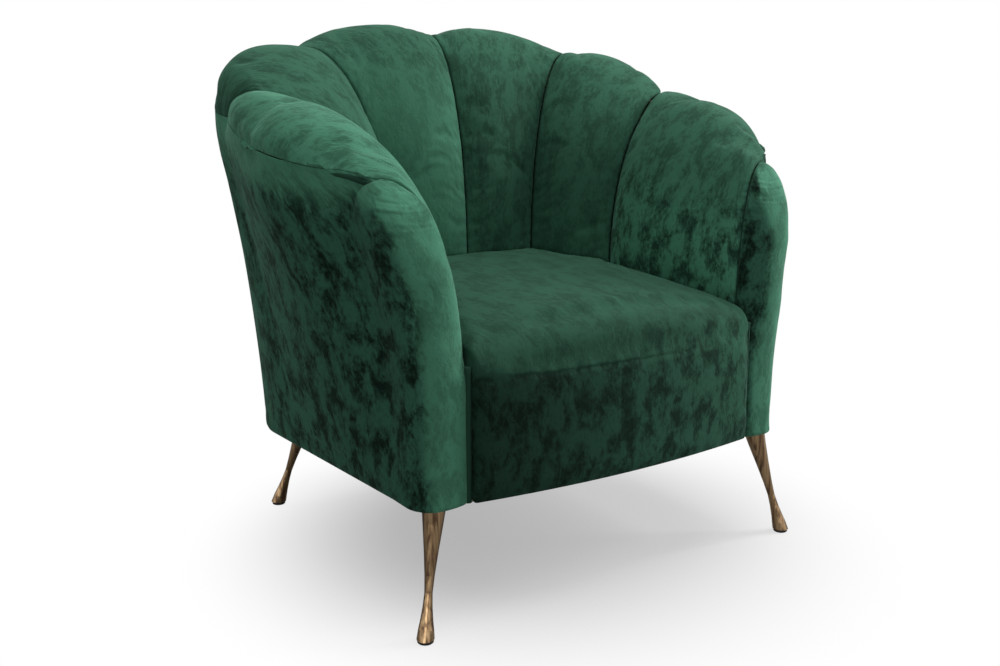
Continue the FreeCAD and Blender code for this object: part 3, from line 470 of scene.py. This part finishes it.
# The cover's sides and rear edge are rolled over and tucked down between the seat and the channels.
def tucked(grid, radius, shallow, deep, steps=5):
    upright = np.cross(np.gradient(grid, axis=0), np.gradient(grid, axis=1))
    inward = upright / np.linalg.norm(upright, axis=2, keepdims=True)  # the rows turn right-handed inwards

    def border(edge, inner, into):
        depth = mix(shallow, deep, smooth(345, 380, edge[:, 2:3]))  # shallow in front, where the pad is near
        outwards = edge - inner
        outwards /= np.linalg.norm(outwards, axis=1, keepdims=True)
        start = edge - outwards * radius
        rolled = [start + outwards * radius * math.sin(turn) + into * radius * (1 - math.cos(turn))
                  for turn in np.radians(np.linspace(0, 90, steps))]
        return rolled + [edge + into * (radius + (depth - radius) * share) for share in (0.4, 0.7, 1)]

    first = border(grid[0], grid[1], inward[1])
    last = border(grid[-1], grid[-2], inward[-2])
    grid = np.stack(first[::-1] + list(grid[2:-2]) + last)
    into = np.concatenate((np.repeat(inward[1:2, -2], len(first), axis=0), inward[2:-2, -2],
                           np.repeat(inward[-2:-1, -2], len(last), axis=0)))
    back = border(grid[:, -1], grid[:, -2], into)
    return np.concatenate((grid[:, :-2], np.stack(back, axis=1)), axis=1)


piece = makeSheet("seat", tucked(seatSheet(), 7, 15, 36), flip=True)
addSoft(piece, ["seat_cushion", "seat_front_border"], shrink=-0.008)
print("seat laid out")

# Round tapes lie behind the seams, so that no light comes through a gap. Depth and radius are in millimetres.
# Its "level" of 0.35 darkens the tapes: painted shade in the seams.
tape = {"depth": 8.0, "radius": 5, "sides": 8, "level": 0.35}
tapes = []


def unit(vectors):
    return vectors / np.linalg.norm(vectors, axis=1, keepdims=True)


def addTape(path, inwards):
    path, inwards = filledOut(np.array(path)), np.array(inwards)
    lead = unit(np.gradient(path, axis=0))
    inwards = unit(inwards - lead * np.sum(lead * inwards, axis=1, keepdims=True))  # square to the seam
    middle = path + inwards * tape["depth"]
    along = unit(np.gradient(middle, axis=0))
    side = unit(np.cross(along, inwards))
    other = np.cross(side, along)
    rings = [middle + side * tape["radius"] * math.cos(turn) + other * tape["radius"] * math.sin(turn)
             for turn in np.radians(np.linspace(0, 360, tape["sides"] + 1)[:-1])]
    tapes.append(np.stack(rings, axis=1))


def inwardNormals(path, at):
    along = np.gradient(np.array(path), axis=0)
    run = along @ at["direction"]
    return unit(np.outer(along[:, 2], at["direction"]) - np.outer(run, (0, 0, 1)))


for index, share in ((0, 0), (0, 1), (1, 1), (2, 1)):  # the seams between the channels
    at = station(index, share)
    path = resample(channelPath(at), 60)
    addTape(path, inwardNormals(path, at))
for index in range(len(channels)):  # the hem
    stations = [station(index, share) for share in np.linspace(0, 1, 30)]
    hem = [overRim(at, at["hem"]) for at in stations]
    addTape(hem, [overRim(at, at["hem"], 1) - overRim(at, at["hem"]) for at in stations])
corner = [(shell["seatHalf"] + 0.5, front + 2, level) for level in np.linspace(178, 372, 20)]
addTape(corner, [(0, 1, 0)] * len(corner))  # between the seat's front and the pad
at = panelStation(2, 0)
path = panelPath(at, 60)
addTape(path, inwardNormals(path[::-1], at)[::-1])  # between the outer side and the outer back


def makeTapes():
    spots, faces = [], []
    for tube in tapes:
        for sign in (1, -1):
            rows, sides = tube.shape[:2]
            first = len(spots)
            spots += [tuple(spot) for spot in (tube * np.array((sign, 1, 1)) / 1000).reshape(-1, 3)]
            for row in range(rows - 1):
                for number in range(sides):
                    ids = [row * sides + number, row * sides + (number + 1) % sides,
                           (row + 1) * sides + (number + 1) % sides, (row + 1) * sides + number]
                    faces.append([first + spot for spot in ids])
            for row in (0, rows - 1):
                faces.append([first + row * sides + number for number in range(sides)])
    mesh = bpy.data.meshes.new("seamTapes")
    mesh.from_pydata(spots, [], faces)
    # The tapes get the low "level": painted shade in the seams.
    level = mesh.attributes.new("level", "FLOAT", "POINT")
    level.data.foreach_set("value", [tape["level"]] * len(spots))
    piece = bpy.data.objects.new("seamTapes", mesh)
    bpy.context.scene.collection.objects.link(piece)
    bpy.ops.object.select_all(action="DESELECT")
    piece.select_set(True)
    bpy.context.view_layer.objects.active = piece
    bpy.ops.object.mode_set(mode="EDIT")
    bpy.ops.mesh.select_all(action="SELECT")
    bpy.ops.mesh.normals_make_consistent(inside=False)
    bpy.ops.object.mode_set(mode="OBJECT")
    bpy.ops.object.shade_smooth()
    return piece


seamTapes = makeTapes()
print("seams backed")

# Painted light and shade on the velvet: its brightness on each face, lighter or darker by how the lamps fall
# on it, with a painted highlight on the lit pad ("padLit"), and how strongly it is crushed into patches.
shadeAndCrush = {
    "seatTop": 0.5, "seatFront": (0.17, 0.26, 0.4, 0.55), "coverSide": (0.44, 0.58),
    "padLit": 1.35, "top": 0.68,
    "inner": {"armChannelLeft": 0.9, "backCornerLeft": 0.95, "backCentreLeft": 1.15, "backCentreRight": 0.52,
              "backCornerRight": 0.5, "armChannelRight": 0.72},
    "topOf": {"armChannelLeft": 1.25, "armCoverLeft": 1.25, "backCentreLeft": 0.66},
    "crushed": {"backCentreLeft": 0.12, "backCentreRight": 0.4, "armChannelRight": 0.85},
}


# Gives each point its painted light and shade (its "level") and how strong its patches are.
def shadeAndCrushOf(name, spots, normals, below):  # spots in millimetres, below is the way down to the piece's last row
    x, y, z = spots.T
    right, ahead, up = normals[:, 0], -normals[:, 1], normals[:, 2]
    top = shadeAndCrush["topOf"].get(name, shadeAndCrush["top"])
    # Painted shade: the seat's front is darker than its top, most on the left, and faces turned up take the
    # top's brightness.
    if name == "seat":  # sharp at the seam on the left, soft over the nose on the right
        edge = np.interp(x, (-250, -120, 40, 220), shadeAndCrush["seatFront"])
        flat = mix(smooth(352, 361, z), smooth(0.25, 0.75, up), smooth(-60, 220, x))
        return mix(edge, shadeAndCrush["seatTop"], flat), mix(0.75, 0.27, flat)
    # Painted light and shade on the channels' inner faces: each piece is lighter or darker by how it faces
    # the key lamp on the right, painted lighter towards the seat, and faces turned up or outwards take the
    # top's brightness.
    if name in shadeAndCrush["inner"]:
        level = shadeAndCrush["inner"][name] * (1 + 0.45 * (1 - smooth(430, 600, z)))  # brighter near the seat
        outward = (x * right - y * ahead) / np.hypot(x, y)
        onTop = np.maximum(smooth(0.15, 0.6, up), smooth(0.0, 0.35, outward))
        return mix(level, top, onTop), mix(shadeAndCrush["crushed"].get(name, 0.3), 0.36, onTop)
    # Painted light and shade on the covers: the outer side is darker than the top of the roll, and a painted
    # highlight lies on the pad's front where it faces the front and the key lamp on the right.
    hem = 1 - smooth(15, 75, below)  # the roll's look goes on a little below the hem
    level = mix(mix(*shadeAndCrush["coverSide"], smooth(-200, 50, y)), top, hem)
    facing = smooth(-0.8, -0.35, right) if name == "armCoverLeft" else smooth(-0.45, -0.1, right)
    lit = facing * smooth(0.2, 0.6, ahead) * (1 - smooth(front + 45, front + 90, y))
    return mix(level, shadeAndCrush["padLit"], lit), mix(1.0, 0.25, np.maximum(hem, lit))


def gatherOf(name, spots):  # short pleats along the arm's front seam
    x, y, z = np.abs(spots[:, 0]), spots[:, 1], spots[:, 2]
    if name.startswith("armChannel"):
        return (1 - smooth(front + 44, front + 78, y)) * smooth(455, 500, z) * (1 - smooth(600, 640, z))
    if name.startswith("armCover"):
        gather = smooth(front + 14, front + 36, y) * (1 - smooth(front + 40, front + 70, y))
        return gather * smooth(470, 520, z) * (1 - smooth(370, 400, x))
    return 0.0


def markShadeAndCrush():
    for item in soft:
        piece = item["piece"]
        count = len(piece.data.vertices)
        spots, normals, below = np.zeros(count * 3), np.zeros(count * 3), np.zeros(count)
        piece.data.vertices.foreach_get("co", spots)
        piece.data.vertices.foreach_get("normal", normals)
        piece.data.attributes["below"].data.foreach_get("value", below)
        spots = spots.reshape(-1, 3) * 1000
        # nap is the painted light and shade, stored as the "level" attribute.
        nap, crush = shadeAndCrushOf(piece.name, spots, normals.reshape(-1, 3), below)
        gather = gatherOf(piece.name, spots)
        for title, values in (("level", nap), ("crush", crush), ("gather", gather)):
            layer = piece.data.attributes.new(title, "FLOAT", "POINT")
            layer.data.foreach_set("value", np.broadcast_to(values, count).astype(np.float32))


markShadeAndCrush()
print("pile laid")


def simulate():
    scene = bpy.context.scene
    for item in soft:
        piece = item["piece"]
        pins = piece.vertex_groups.new(name="pins")
        pins.add(borderVertices(piece), 1.0, "REPLACE")
        cloth = piece.modifiers.new("filling", "CLOTH")
        settings = cloth.settings
        settings.quality = filling["quality"]
        settings.mass = filling["mass"]
        settings.tension_stiffness = filling["tension"]
        settings.compression_stiffness = filling["compression"]
        settings.shear_stiffness = filling["shear"]
        settings.bending_stiffness = filling["bending"]
        settings.vertex_group_mass = "pins"
        settings.use_pressure = True
        settings.uniform_pressure_force = filling["pressure"]
        settings.shrink_min = item["shrink"]
        settings.effector_weights.gravity = 0
        cloth.collision_settings.use_collision = False
        cloth.point_cache.frame_start = 1
        cloth.point_cache.frame_end = filling["steps"]
    for step in range(1, filling["steps"] + 1):
        scene.frame_set(step)
    graph = bpy.context.evaluated_depsgraph_get()
    for item in soft:
        piece = item["piece"]
        before = np.zeros(len(piece.data.vertices) * 3)
        piece.data.vertices.foreach_get("co", before)
        after = np.zeros_like(before)
        piece.evaluated_get(graph).data.vertices.foreach_get("co", after)
        shift = (after - before).reshape(-1, 3) * 1000
        length = np.linalg.norm(shift, axis=1, keepdims=True) + 1e-9
        print(piece.name, "filled, moved", round(float(length.mean()), 1), "mm on average")
        shift *= filling["cap"] * np.tanh(length / filling["cap"]) / length
        piece.data.vertices.foreach_set("co", (before.reshape(-1, 3) + shift / 1000).ravel())
        piece.modifiers.remove(piece.modifiers["filling"])
    scene.frame_set(1)


simulate()


def srgb(code):
    parts = [int(code[at:at + 2], 16) / 255 for at in (1, 3, 5)]
    return [part / 12.92 if part <= 0.04045 else ((part + 0.055) / 1.055) ** 2.4 for part in parts] + [1]


def addNode(tree, kind, settings=None, inputs=None):
    node = tree.nodes.new(kind)
    for name, value in (settings or {}).items():
        setattr(node, name, value)
    for name, value in (inputs or {}).items():
        if isinstance(value, bpy.types.NodeSocket):
            tree.links.new(value, node.inputs[name])
        else:
            node.inputs[name].default_value = value
    return node


def newMaterial(name):
    material = bpy.data.materials.new(name)
    material.use_nodes = True
    material.node_tree.nodes.clear()
    return material, material.node_tree


def finishMaterial(tree, shader):
    out = addNode(tree, "ShaderNodeOutputMaterial")
    tree.links.new(shader.outputs[0], out.inputs["Surface"])


def ramp(tree, value, stops):
    node = addNode(tree, "ShaderNodeValToRGB", inputs={"Fac": value})
    band = node.color_ramp
    while len(band.elements) < len(stops):
        band.elements.new(0.5)
    for element, (spot, colour) in zip(band.elements, stops):
        element.position = spot
        element.color = colour
    return node.outputs["Color"]


# Crushed velvet: short green polyester pile on a woven back, crushed by heat. It is dull and dark where the
# pile is pressed flat, lighter where it stands up, and its tips have a pale sheen at a low angle.
# Three attributes guide it: "level" is painted light and shade, how light a place looks under the lamps,
# and it scales the colour and the sheen; "crush" is how strong its patches are, and "gather" where it is
# drawn into pleats.
velvet = {
    "pressed": "#132a21", "resting": "#3a6853", "raised": "#4a856c", "tips": "#93c9b0", "sheen": 0.45,
    "patch": 0.03, "fleck": 0.0055,  # in metres: torn patches of 30 mm, flecks of 5.5 mm
    "drawn": 0.6,  # both are longer along the nap
    "torn": (0.34, 0.62),  # a narrower band gives harder edges
    "pleats": (11, 75, 1), "pleatDepth": 0.006,  # 90 mm long, 13 mm apart
    "pile": 1100,  # 0.9 mm, far coarser than real pile so that it shows
}


def velvetMaterial():
    material, tree = newMaterial("velvetCrushed")
    spots = addNode(tree, "ShaderNodeUVMap", {"uv_map": "nap"}).outputs["UV"]
    # nap carries the painted light and shade of the "level" attribute.
    nap = addNode(tree, "ShaderNodeAttribute", {"attribute_name": "level"}).outputs["Fac"]
    crush = addNode(tree, "ShaderNodeAttribute", {"attribute_name": "crush"}).outputs["Fac"]
    gather = addNode(tree, "ShaderNodeAttribute", {"attribute_name": "gather"}).outputs["Fac"]
    drawn = addNode(tree, "ShaderNodeMapping", inputs={"Vector": spots, "Scale": (1, velvet["drawn"], 1)})
    patches = addNode(tree, "ShaderNodeTexNoise", {"noise_dimensions": "2D"}, {
        "Vector": drawn.outputs["Vector"], "Scale": 1 / velvet["patch"], "Detail": 9, "Roughness": 0.68,
        "Distortion": 0.15}).outputs["Fac"]
    flecks = addNode(tree, "ShaderNodeTexNoise", {"noise_dimensions": "2D"}, {
        "Vector": drawn.outputs["Vector"], "Scale": 1 / velvet["fleck"], "Detail": 4, "Roughness": 0.7,
        "Distortion": 0.3}).outputs["Fac"]
    torn = addNode(tree, "ShaderNodeMapRange", {"interpolation_type": "SMOOTHSTEP"}, {
        "Value": patches, "From Min": velvet["torn"][0], "From Max": velvet["torn"][1]}).outputs["Result"]
    broken = addNode(tree, "ShaderNodeMapRange", inputs={
        "Value": flecks, "From Min": 0.3, "From Max": 0.7, "To Min": -0.3, "To Max": 0.3}).outputs["Result"]
    lie = addNode(tree, "ShaderNodeMath", {"operation": "ADD", "use_clamp": True}, {
        0: torn, 1: broken}).outputs[0]
    colour = ramp(tree, lie, [(0.0, srgb(velvet["pressed"])), (0.55, srgb(velvet["resting"])),
                              (1.0, srgb(velvet["raised"]))])
    even = addNode(tree, "ShaderNodeMix", {"data_type": "RGBA"}, {"Factor": crush})
    even.inputs[6].default_value = srgb(velvet["resting"])
    tree.links.new(colour, even.inputs[7])
    shaded = addNode(tree, "ShaderNodeVectorMath", {"operation": "SCALE"}, {0: even.outputs[2], "Scale": nap})
    across = addNode(tree, "ShaderNodeMapping", inputs={"Vector": spots, "Scale": velvet["pleats"]})
    pleats = addNode(tree, "ShaderNodeTexNoise", {"noise_dimensions": "2D"}, {
        "Vector": across.outputs["Vector"], "Scale": 1.0, "Detail": 1, "Roughness": 0.4}).outputs["Fac"]
    pleated = addNode(tree, "ShaderNodeMath", {"operation": "MULTIPLY"}, {0: pleats, 1: gather}).outputs[0]
    pile = addNode(tree, "ShaderNodeTexNoise", {"noise_dimensions": "2D"}, {
        "Vector": spots, "Scale": velvet["pile"], "Detail": 2, "Roughness": 0.5}).outputs["Fac"]
    drawnUp = addNode(tree, "ShaderNodeBump", inputs={
        "Height": pleated, "Strength": 1.0, "Distance": velvet["pleatDepth"]})
    crushed = addNode(tree, "ShaderNodeBump", inputs={
        "Height": lie, "Strength": 0.4, "Distance": 0.0012, "Normal": drawnUp.outputs["Normal"]})
    fine = addNode(tree, "ShaderNodeBump", inputs={
        "Height": pile, "Strength": 0.35, "Distance": 0.0004, "Normal": crushed.outputs["Normal"]})
    # The sheen is scaled by the painted light and shade as well.
    sheen = addNode(tree, "ShaderNodeMath", {"operation": "MULTIPLY"}, {0: nap, 1: velvet["sheen"]})
    shader = addNode(tree, "ShaderNodeBsdfPrincipled", inputs={
        "Base Color": shaded.outputs["Vector"], "Roughness": 0.9, "Specular IOR Level": 0.08,
        "Sheen Weight": sheen.outputs[0], "Sheen Roughness": 0.3, "Sheen Tint": srgb(velvet["tips"]),
        "Normal": fine.outputs["Normal"]})
    finishMaterial(tree, shader)
    return material


velvetCrushed = velvetMaterial()


# Polished brass, turned and then buffed along the leg: warm gold with a sharp, bent highlight that is a
# little duller in cloudy places. Long brown and pale streaks in its colour are painted reflections along the
# leg.
brassFinish = {
    "reflectionStreaks": [(0.36, "#6b5440"), (0.48, "#9c8060"), (0.7, "#bfa17b")], "reflectionStreak": 210,  # 5 mm across
    "roughness": (0.13, 0.21), "cloud": 45,  # 22 mm
    "buffing": 900,  # 1.1 mm
}


def brassMaterial():
    material, tree = newMaterial("brassPolished")
    spots = addNode(tree, "ShaderNodeTexCoord").outputs["Object"]
    drawn = addNode(tree, "ShaderNodeMapping", inputs={"Vector": spots, "Scale": (1, 1, 0.08)})
    buffed = addNode(tree, "ShaderNodeTexNoise", inputs={
        "Vector": drawn.outputs["Vector"], "Scale": brassFinish["buffing"], "Detail": 3}).outputs["Fac"]
    cloudy = addNode(tree, "ShaderNodeTexNoise", inputs={
        "Vector": spots, "Scale": brassFinish["cloud"], "Detail": 4}).outputs["Fac"]
    strokes = addNode(tree, "ShaderNodeMapping", inputs={"Vector": spots, "Scale": (1, 1, 0.03)})
    # Painted reflections: long brown and pale streaks along the leg in the gold colour.
    reflectionStreaks = addNode(tree, "ShaderNodeTexNoise", inputs={
        "Vector": strokes.outputs["Vector"], "Scale": brassFinish["reflectionStreak"], "Detail": 3}).outputs["Fac"]
    colour = ramp(tree, reflectionStreaks, [(spot, srgb(code)) for spot, code in brassFinish["reflectionStreaks"]])
    smoothest, dullest = brassFinish["roughness"]
    gloss = addNode(tree, "ShaderNodeMapRange", inputs={
        "Value": cloudy, "From Min": 0.3, "From Max": 0.7, "To Min": smoothest, "To Max": dullest})
    bump = addNode(tree, "ShaderNodeBump", inputs={"Height": buffed, "Strength": 0.15, "Distance": 0.0001})
    shader = addNode(tree, "ShaderNodeBsdfPrincipled", inputs={
        "Base Color": colour, "Metallic": 1.0, "Roughness": gloss.outputs["Result"],
        "Normal": bump.outputs["Normal"]})
    finishMaterial(tree, shader)
    return material


# Bare wood: planed beech shows pale pink-brown long grain, sawn birch plywood pale yellow sheets at its edge.
# Both are dry and dull, with open pores.
def woodMaterial(name, dark, light, stretch, scale):
    material, tree = newMaterial(name)
    spots = addNode(tree, "ShaderNodeTexCoord").outputs["Object"]
    long = addNode(tree, "ShaderNodeMapping", inputs={"Vector": spots, "Scale": stretch}).outputs["Vector"]
    rings = addNode(tree, "ShaderNodeTexWave", {"bands_direction": "DIAGONAL"}, {
        "Vector": long, "Scale": scale, "Distortion": 5, "Detail": 4, "Detail Scale": 1.6}).outputs["Fac"]
    pores = addNode(tree, "ShaderNodeTexNoise", inputs={
        "Vector": long, "Scale": scale * 9, "Detail": 5}).outputs["Fac"]
    figure = addNode(tree, "ShaderNodeMath", {"operation": "MULTIPLY_ADD"}, {0: pores, 1: 0.5, 2: rings})
    colour = ramp(tree, figure.outputs[0], [(0.2, srgb(dark)), (1.0, srgb(light))])
    bump = addNode(tree, "ShaderNodeBump", inputs={"Height": pores, "Strength": 0.3, "Distance": 0.0003})
    shader = addNode(tree, "ShaderNodeBsdfPrincipled", inputs={
        "Base Color": colour, "Roughness": 0.62, "Specular IOR Level": 0.3, "Normal": bump.outputs["Normal"]})
    finishMaterial(tree, shader)
    return material


# Dull cloths: woven jute-coloured webbing shows its threads, needled grey felt its matted fibres, and the
# black pressed spunbond of the dust cover its flecks.
def fibreMaterial(name, dark, light, scale, stretch=(1, 1, 1), weave=0.0):
    material, tree = newMaterial(name)
    spots = addNode(tree, "ShaderNodeTexCoord").outputs["Object"]
    laid = addNode(tree, "ShaderNodeMapping", inputs={"Vector": spots, "Scale": stretch}).outputs["Vector"]
    fibres = addNode(tree, "ShaderNodeTexNoise", inputs={
        "Vector": laid, "Scale": scale, "Detail": 6, "Roughness": 0.7, "Distortion": 0.8}).outputs["Fac"]
    threads = addNode(tree, "ShaderNodeTexWave", {"bands_direction": "Y"}, {
        "Vector": laid, "Scale": scale * 0.5, "Distortion": 0.4}).outputs["Fac"]
    height = addNode(tree, "ShaderNodeMath", {"operation": "MULTIPLY_ADD"}, {
        0: threads, 1: weave, 2: fibres}).outputs[0]
    colour = ramp(tree, height, [(0.3, srgb(dark)), (0.7 + weave * 0.5, srgb(light))])
    bump = addNode(tree, "ShaderNodeBump", inputs={"Height": height, "Strength": 0.6, "Distance": 0.0006})
    shader = addNode(tree, "ShaderNodeBsdfPrincipled", inputs={
        "Base Color": colour, "Roughness": 0.9, "Specular IOR Level": 0.15, "Normal": bump.outputs["Normal"]})
    finishMaterial(tree, shader)
    return material


# Small parts: moulded black plastic is slightly glossy with fine orange peel, zinc plating on steel is a cool
# grey metal with a blotchy spangle.
def fittingMaterial(name, dark, light, metallic, roughness, scale):
    material, tree = newMaterial(name)
    spots = addNode(tree, "ShaderNodeTexCoord").outputs["Object"]
    cells = addNode(tree, "ShaderNodeTexVoronoi", inputs={
        "Vector": spots, "Scale": scale}).outputs["Distance"]
    grain = addNode(tree, "ShaderNodeTexNoise", inputs={
        "Vector": spots, "Scale": scale * 2.5, "Detail": 3}).outputs["Fac"]
    colour = ramp(tree, cells, [(0.1, srgb(dark)), (0.8, srgb(light))])
    bump = addNode(tree, "ShaderNodeBump", inputs={"Height": grain, "Strength": 0.25, "Distance": 0.0002})
    shader = addNode(tree, "ShaderNodeBsdfPrincipled", inputs={
        "Base Color": colour, "Metallic": metallic, "Roughness": roughness, "Normal": bump.outputs["Normal"]})
    finishMaterial(tree, shader)
    return material


# Scales are per metre, so 500 gives flecks of 2 mm.
brass = brassMaterial()
beech = woodMaterial("beechPlaned", "#a97f52", "#c9a277", (1, 0.12, 0.3), 55)
plywood = woodMaterial("birchPlywoodSawn", "#b08a5c", "#d9bd90", (0.1, 0.1, 1), 180)
felt = fibreMaterial("feltNeedled", "#6f6a63", "#a39d94", 500)
webbing = fibreMaterial("webbingWoven", "#8d8271", "#cfc4ae", 450, weave=0.6)
spunbond = fibreMaterial("spunbondPressed", "#0b0b0c", "#232325", 700, (1, 0.6, 1))
plastic = fittingMaterial("plasticMoulded", "#0b0b0b", "#191919", metallic=0.0, roughness=0.45, scale=1200)
zinc = fittingMaterial("steelZincPlated", "#8b9093", "#b9bdc0", metallic=1.0, roughness=0.35, scale=260)
nodeMaterials = [
    (("leg_front", "leg_rear"), brass), (("leg_glides",), plastic), (("leg_tee_nuts",), zinc),
    (("dust_cover",), spunbond), (("seat_felt",), felt), (("seat_webbing",), webbing),
    (("base_frame", "back_top_rail", "arm_top_rail"), plywood), (("",), beech),  # all other timber
]
for name, node in nodes.items():
    node.data.materials.clear()
    node.data.materials.append(next(made for starts, made in nodeMaterials if name.startswith(starts)))
print("materials given")

for item in soft:
    piece = item["piece"]
    piece.data.materials.append(velvetCrushed)
    walls = piece.modifiers.new("padding", "SOLIDIFY")
    walls.thickness = filling["thickness"] / 1000
    walls.offset = -1  # inwards, so the cover keeps its place
    rounding = piece.modifiers.new("rounding", "SUBSURF")
    rounding.levels = 1
    rounding.render_levels = 1
    bpy.ops.object.select_all(action="DESELECT")
    piece.select_set(True)
    bpy.context.view_layer.objects.active = piece
    for modifier in ("padding", "rounding"):
        bpy.ops.object.modifier_apply(modifier=modifier)
    bpy.ops.object.shade_smooth()
    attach(piece, "root")
    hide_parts(*item["nodes"])
seamTapes.data.materials.append(velvetCrushed)
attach(seamTapes, "root")
print("padding finished")

scene = bpy.context.scene
scene.view_settings.view_transform = "Standard"

# The studio's floor is matt pale paper. Near the chair it shows the shadow, further out it is plain white.
paper = {
    "size": 14, "middle": (0.02, -0.08, 0), "shadowEnds": (0.22, 0.62), "haze": 0.42,
    "dark": "#9c9c9c", "light": "#a4a4a4", "grain": 400,  # 2.5 mm
}
bpy.ops.mesh.primitive_plane_add(size=paper["size"], location=(0, 0, 0))
floor = bpy.context.object
floor.name = "floor"


def floorMaterial():
    material, tree = newMaterial("paperSweep")
    spots = addNode(tree, "ShaderNodeTexCoord").outputs["Object"]
    distance = addNode(tree, "ShaderNodeVectorMath", {"operation": "DISTANCE"}, {
        0: spots, 1: paper["middle"]}).outputs["Value"]
    begins, ends = paper["shadowEnds"]
    far = addNode(tree, "ShaderNodeMapRange", {"interpolation_type": "SMOOTHSTEP"}, {
        "Value": distance, "From Min": begins, "From Max": ends}).outputs["Result"]
    seen = addNode(tree, "ShaderNodeLightPath").outputs["Is Camera Ray"]
    mask = addNode(tree, "ShaderNodeMath", {"operation": "MULTIPLY"}, {0: far, 1: seen})
    spread = addNode(tree, "ShaderNodeMath", {"operation": "MULTIPLY"}, {0: seen, 1: paper["haze"]})
    grain = addNode(tree, "ShaderNodeTexNoise", inputs={
        "Vector": spots, "Scale": paper["grain"], "Detail": 3}).outputs["Fac"]
    fibre = ramp(tree, grain, [(0.3, srgb(paper["dark"])), (0.7, srgb(paper["light"]))])
    lit = addNode(tree, "ShaderNodeBsdfDiffuse", inputs={"Color": fibre})
    haze = addNode(tree, "ShaderNodeEmission", inputs={"Color": (1, 1, 1, 1), "Strength": spread.outputs[0]})
    near = addNode(tree, "ShaderNodeAddShader")
    tree.links.new(lit.outputs[0], near.inputs[0])
    tree.links.new(haze.outputs[0], near.inputs[1])
    glow = addNode(tree, "ShaderNodeEmission", inputs={"Color": (1, 1, 1, 1), "Strength": 1.0})
    both = addNode(tree, "ShaderNodeMixShader", inputs={"Fac": mask.outputs[0]})
    tree.links.new(near.outputs[0], both.inputs[1])
    tree.links.new(glow.outputs[0], both.inputs[2])
    finishMaterial(tree, both)
    return material


floor.data.materials.append(floorMaterial())

# White where the camera or a reflection sees it, but a low light on the chair itself.
backdrop = {"light": 0.3, "shown": 1.0}
world = bpy.data.worlds.new("studio")
scene.world = world
world.use_nodes = True
tree = world.node_tree
tree.nodes.clear()
seen = addNode(tree, "ShaderNodeLightPath")
shown = addNode(tree, "ShaderNodeMath", {"operation": "MAXIMUM"}, {
    0: seen.outputs["Is Camera Ray"], 1: seen.outputs["Is Glossy Ray"]})
strength = addNode(tree, "ShaderNodeMapRange", inputs={
    "Value": shown.outputs[0], "To Min": backdrop["light"], "To Max": backdrop["shown"]})
sky = addNode(tree, "ShaderNodeBackground", inputs={
    "Color": (1, 1, 1, 1), "Strength": strength.outputs["Result"]})
addNode(tree, "ShaderNodeOutputWorld", inputs={"Surface": sky.outputs[0]})

lamps = [
    {"name": "overhead", "place": (0.3, 0.0, 3.0), "aim": (0, 0, 0.4), "wide": 2.4, "power": 50},
    {"name": "key", "place": (3.2, -1.1, 2.0), "aim": (0, 0, 0.5), "wide": 1.4, "power": 105},
    {"name": "fill", "place": (-2.4, -2.4, 1.6), "aim": (0, 0, 0.4), "wide": 1.8, "power": 14},
]
for lamp in lamps:
    light = bpy.data.lights.new(lamp["name"], "AREA")
    light.size = lamp["wide"]
    light.energy = lamp["power"]
    holder = bpy.data.objects.new(lamp["name"], light)
    scene.collection.objects.link(holder)
    holder.location = lamp["place"]
    aim = Vector(lamp["aim"]) - Vector(lamp["place"])
    holder.rotation_euler = aim.to_track_quat("-Z", "Y").to_euler()

# The photograph's view, fitted to the chair's feet, lower edge, rim and seat.
photoView = {"lens": 38.88, "place": (-1.0125, -1.4970, 0.7331), "tilt": 77.51, "turn": -33.54}
view = bpy.data.cameras.new("photoView")
view.sensor_width = 36
view.lens = photoView["lens"]
camera = bpy.data.objects.new("photoView", view)
scene.collection.objects.link(camera)
camera.location = photoView["place"]
camera.rotation_euler = (math.radians(photoView["tilt"]), 0, math.radians(photoView["turn"]))
scene.camera = camera
print("stage set")
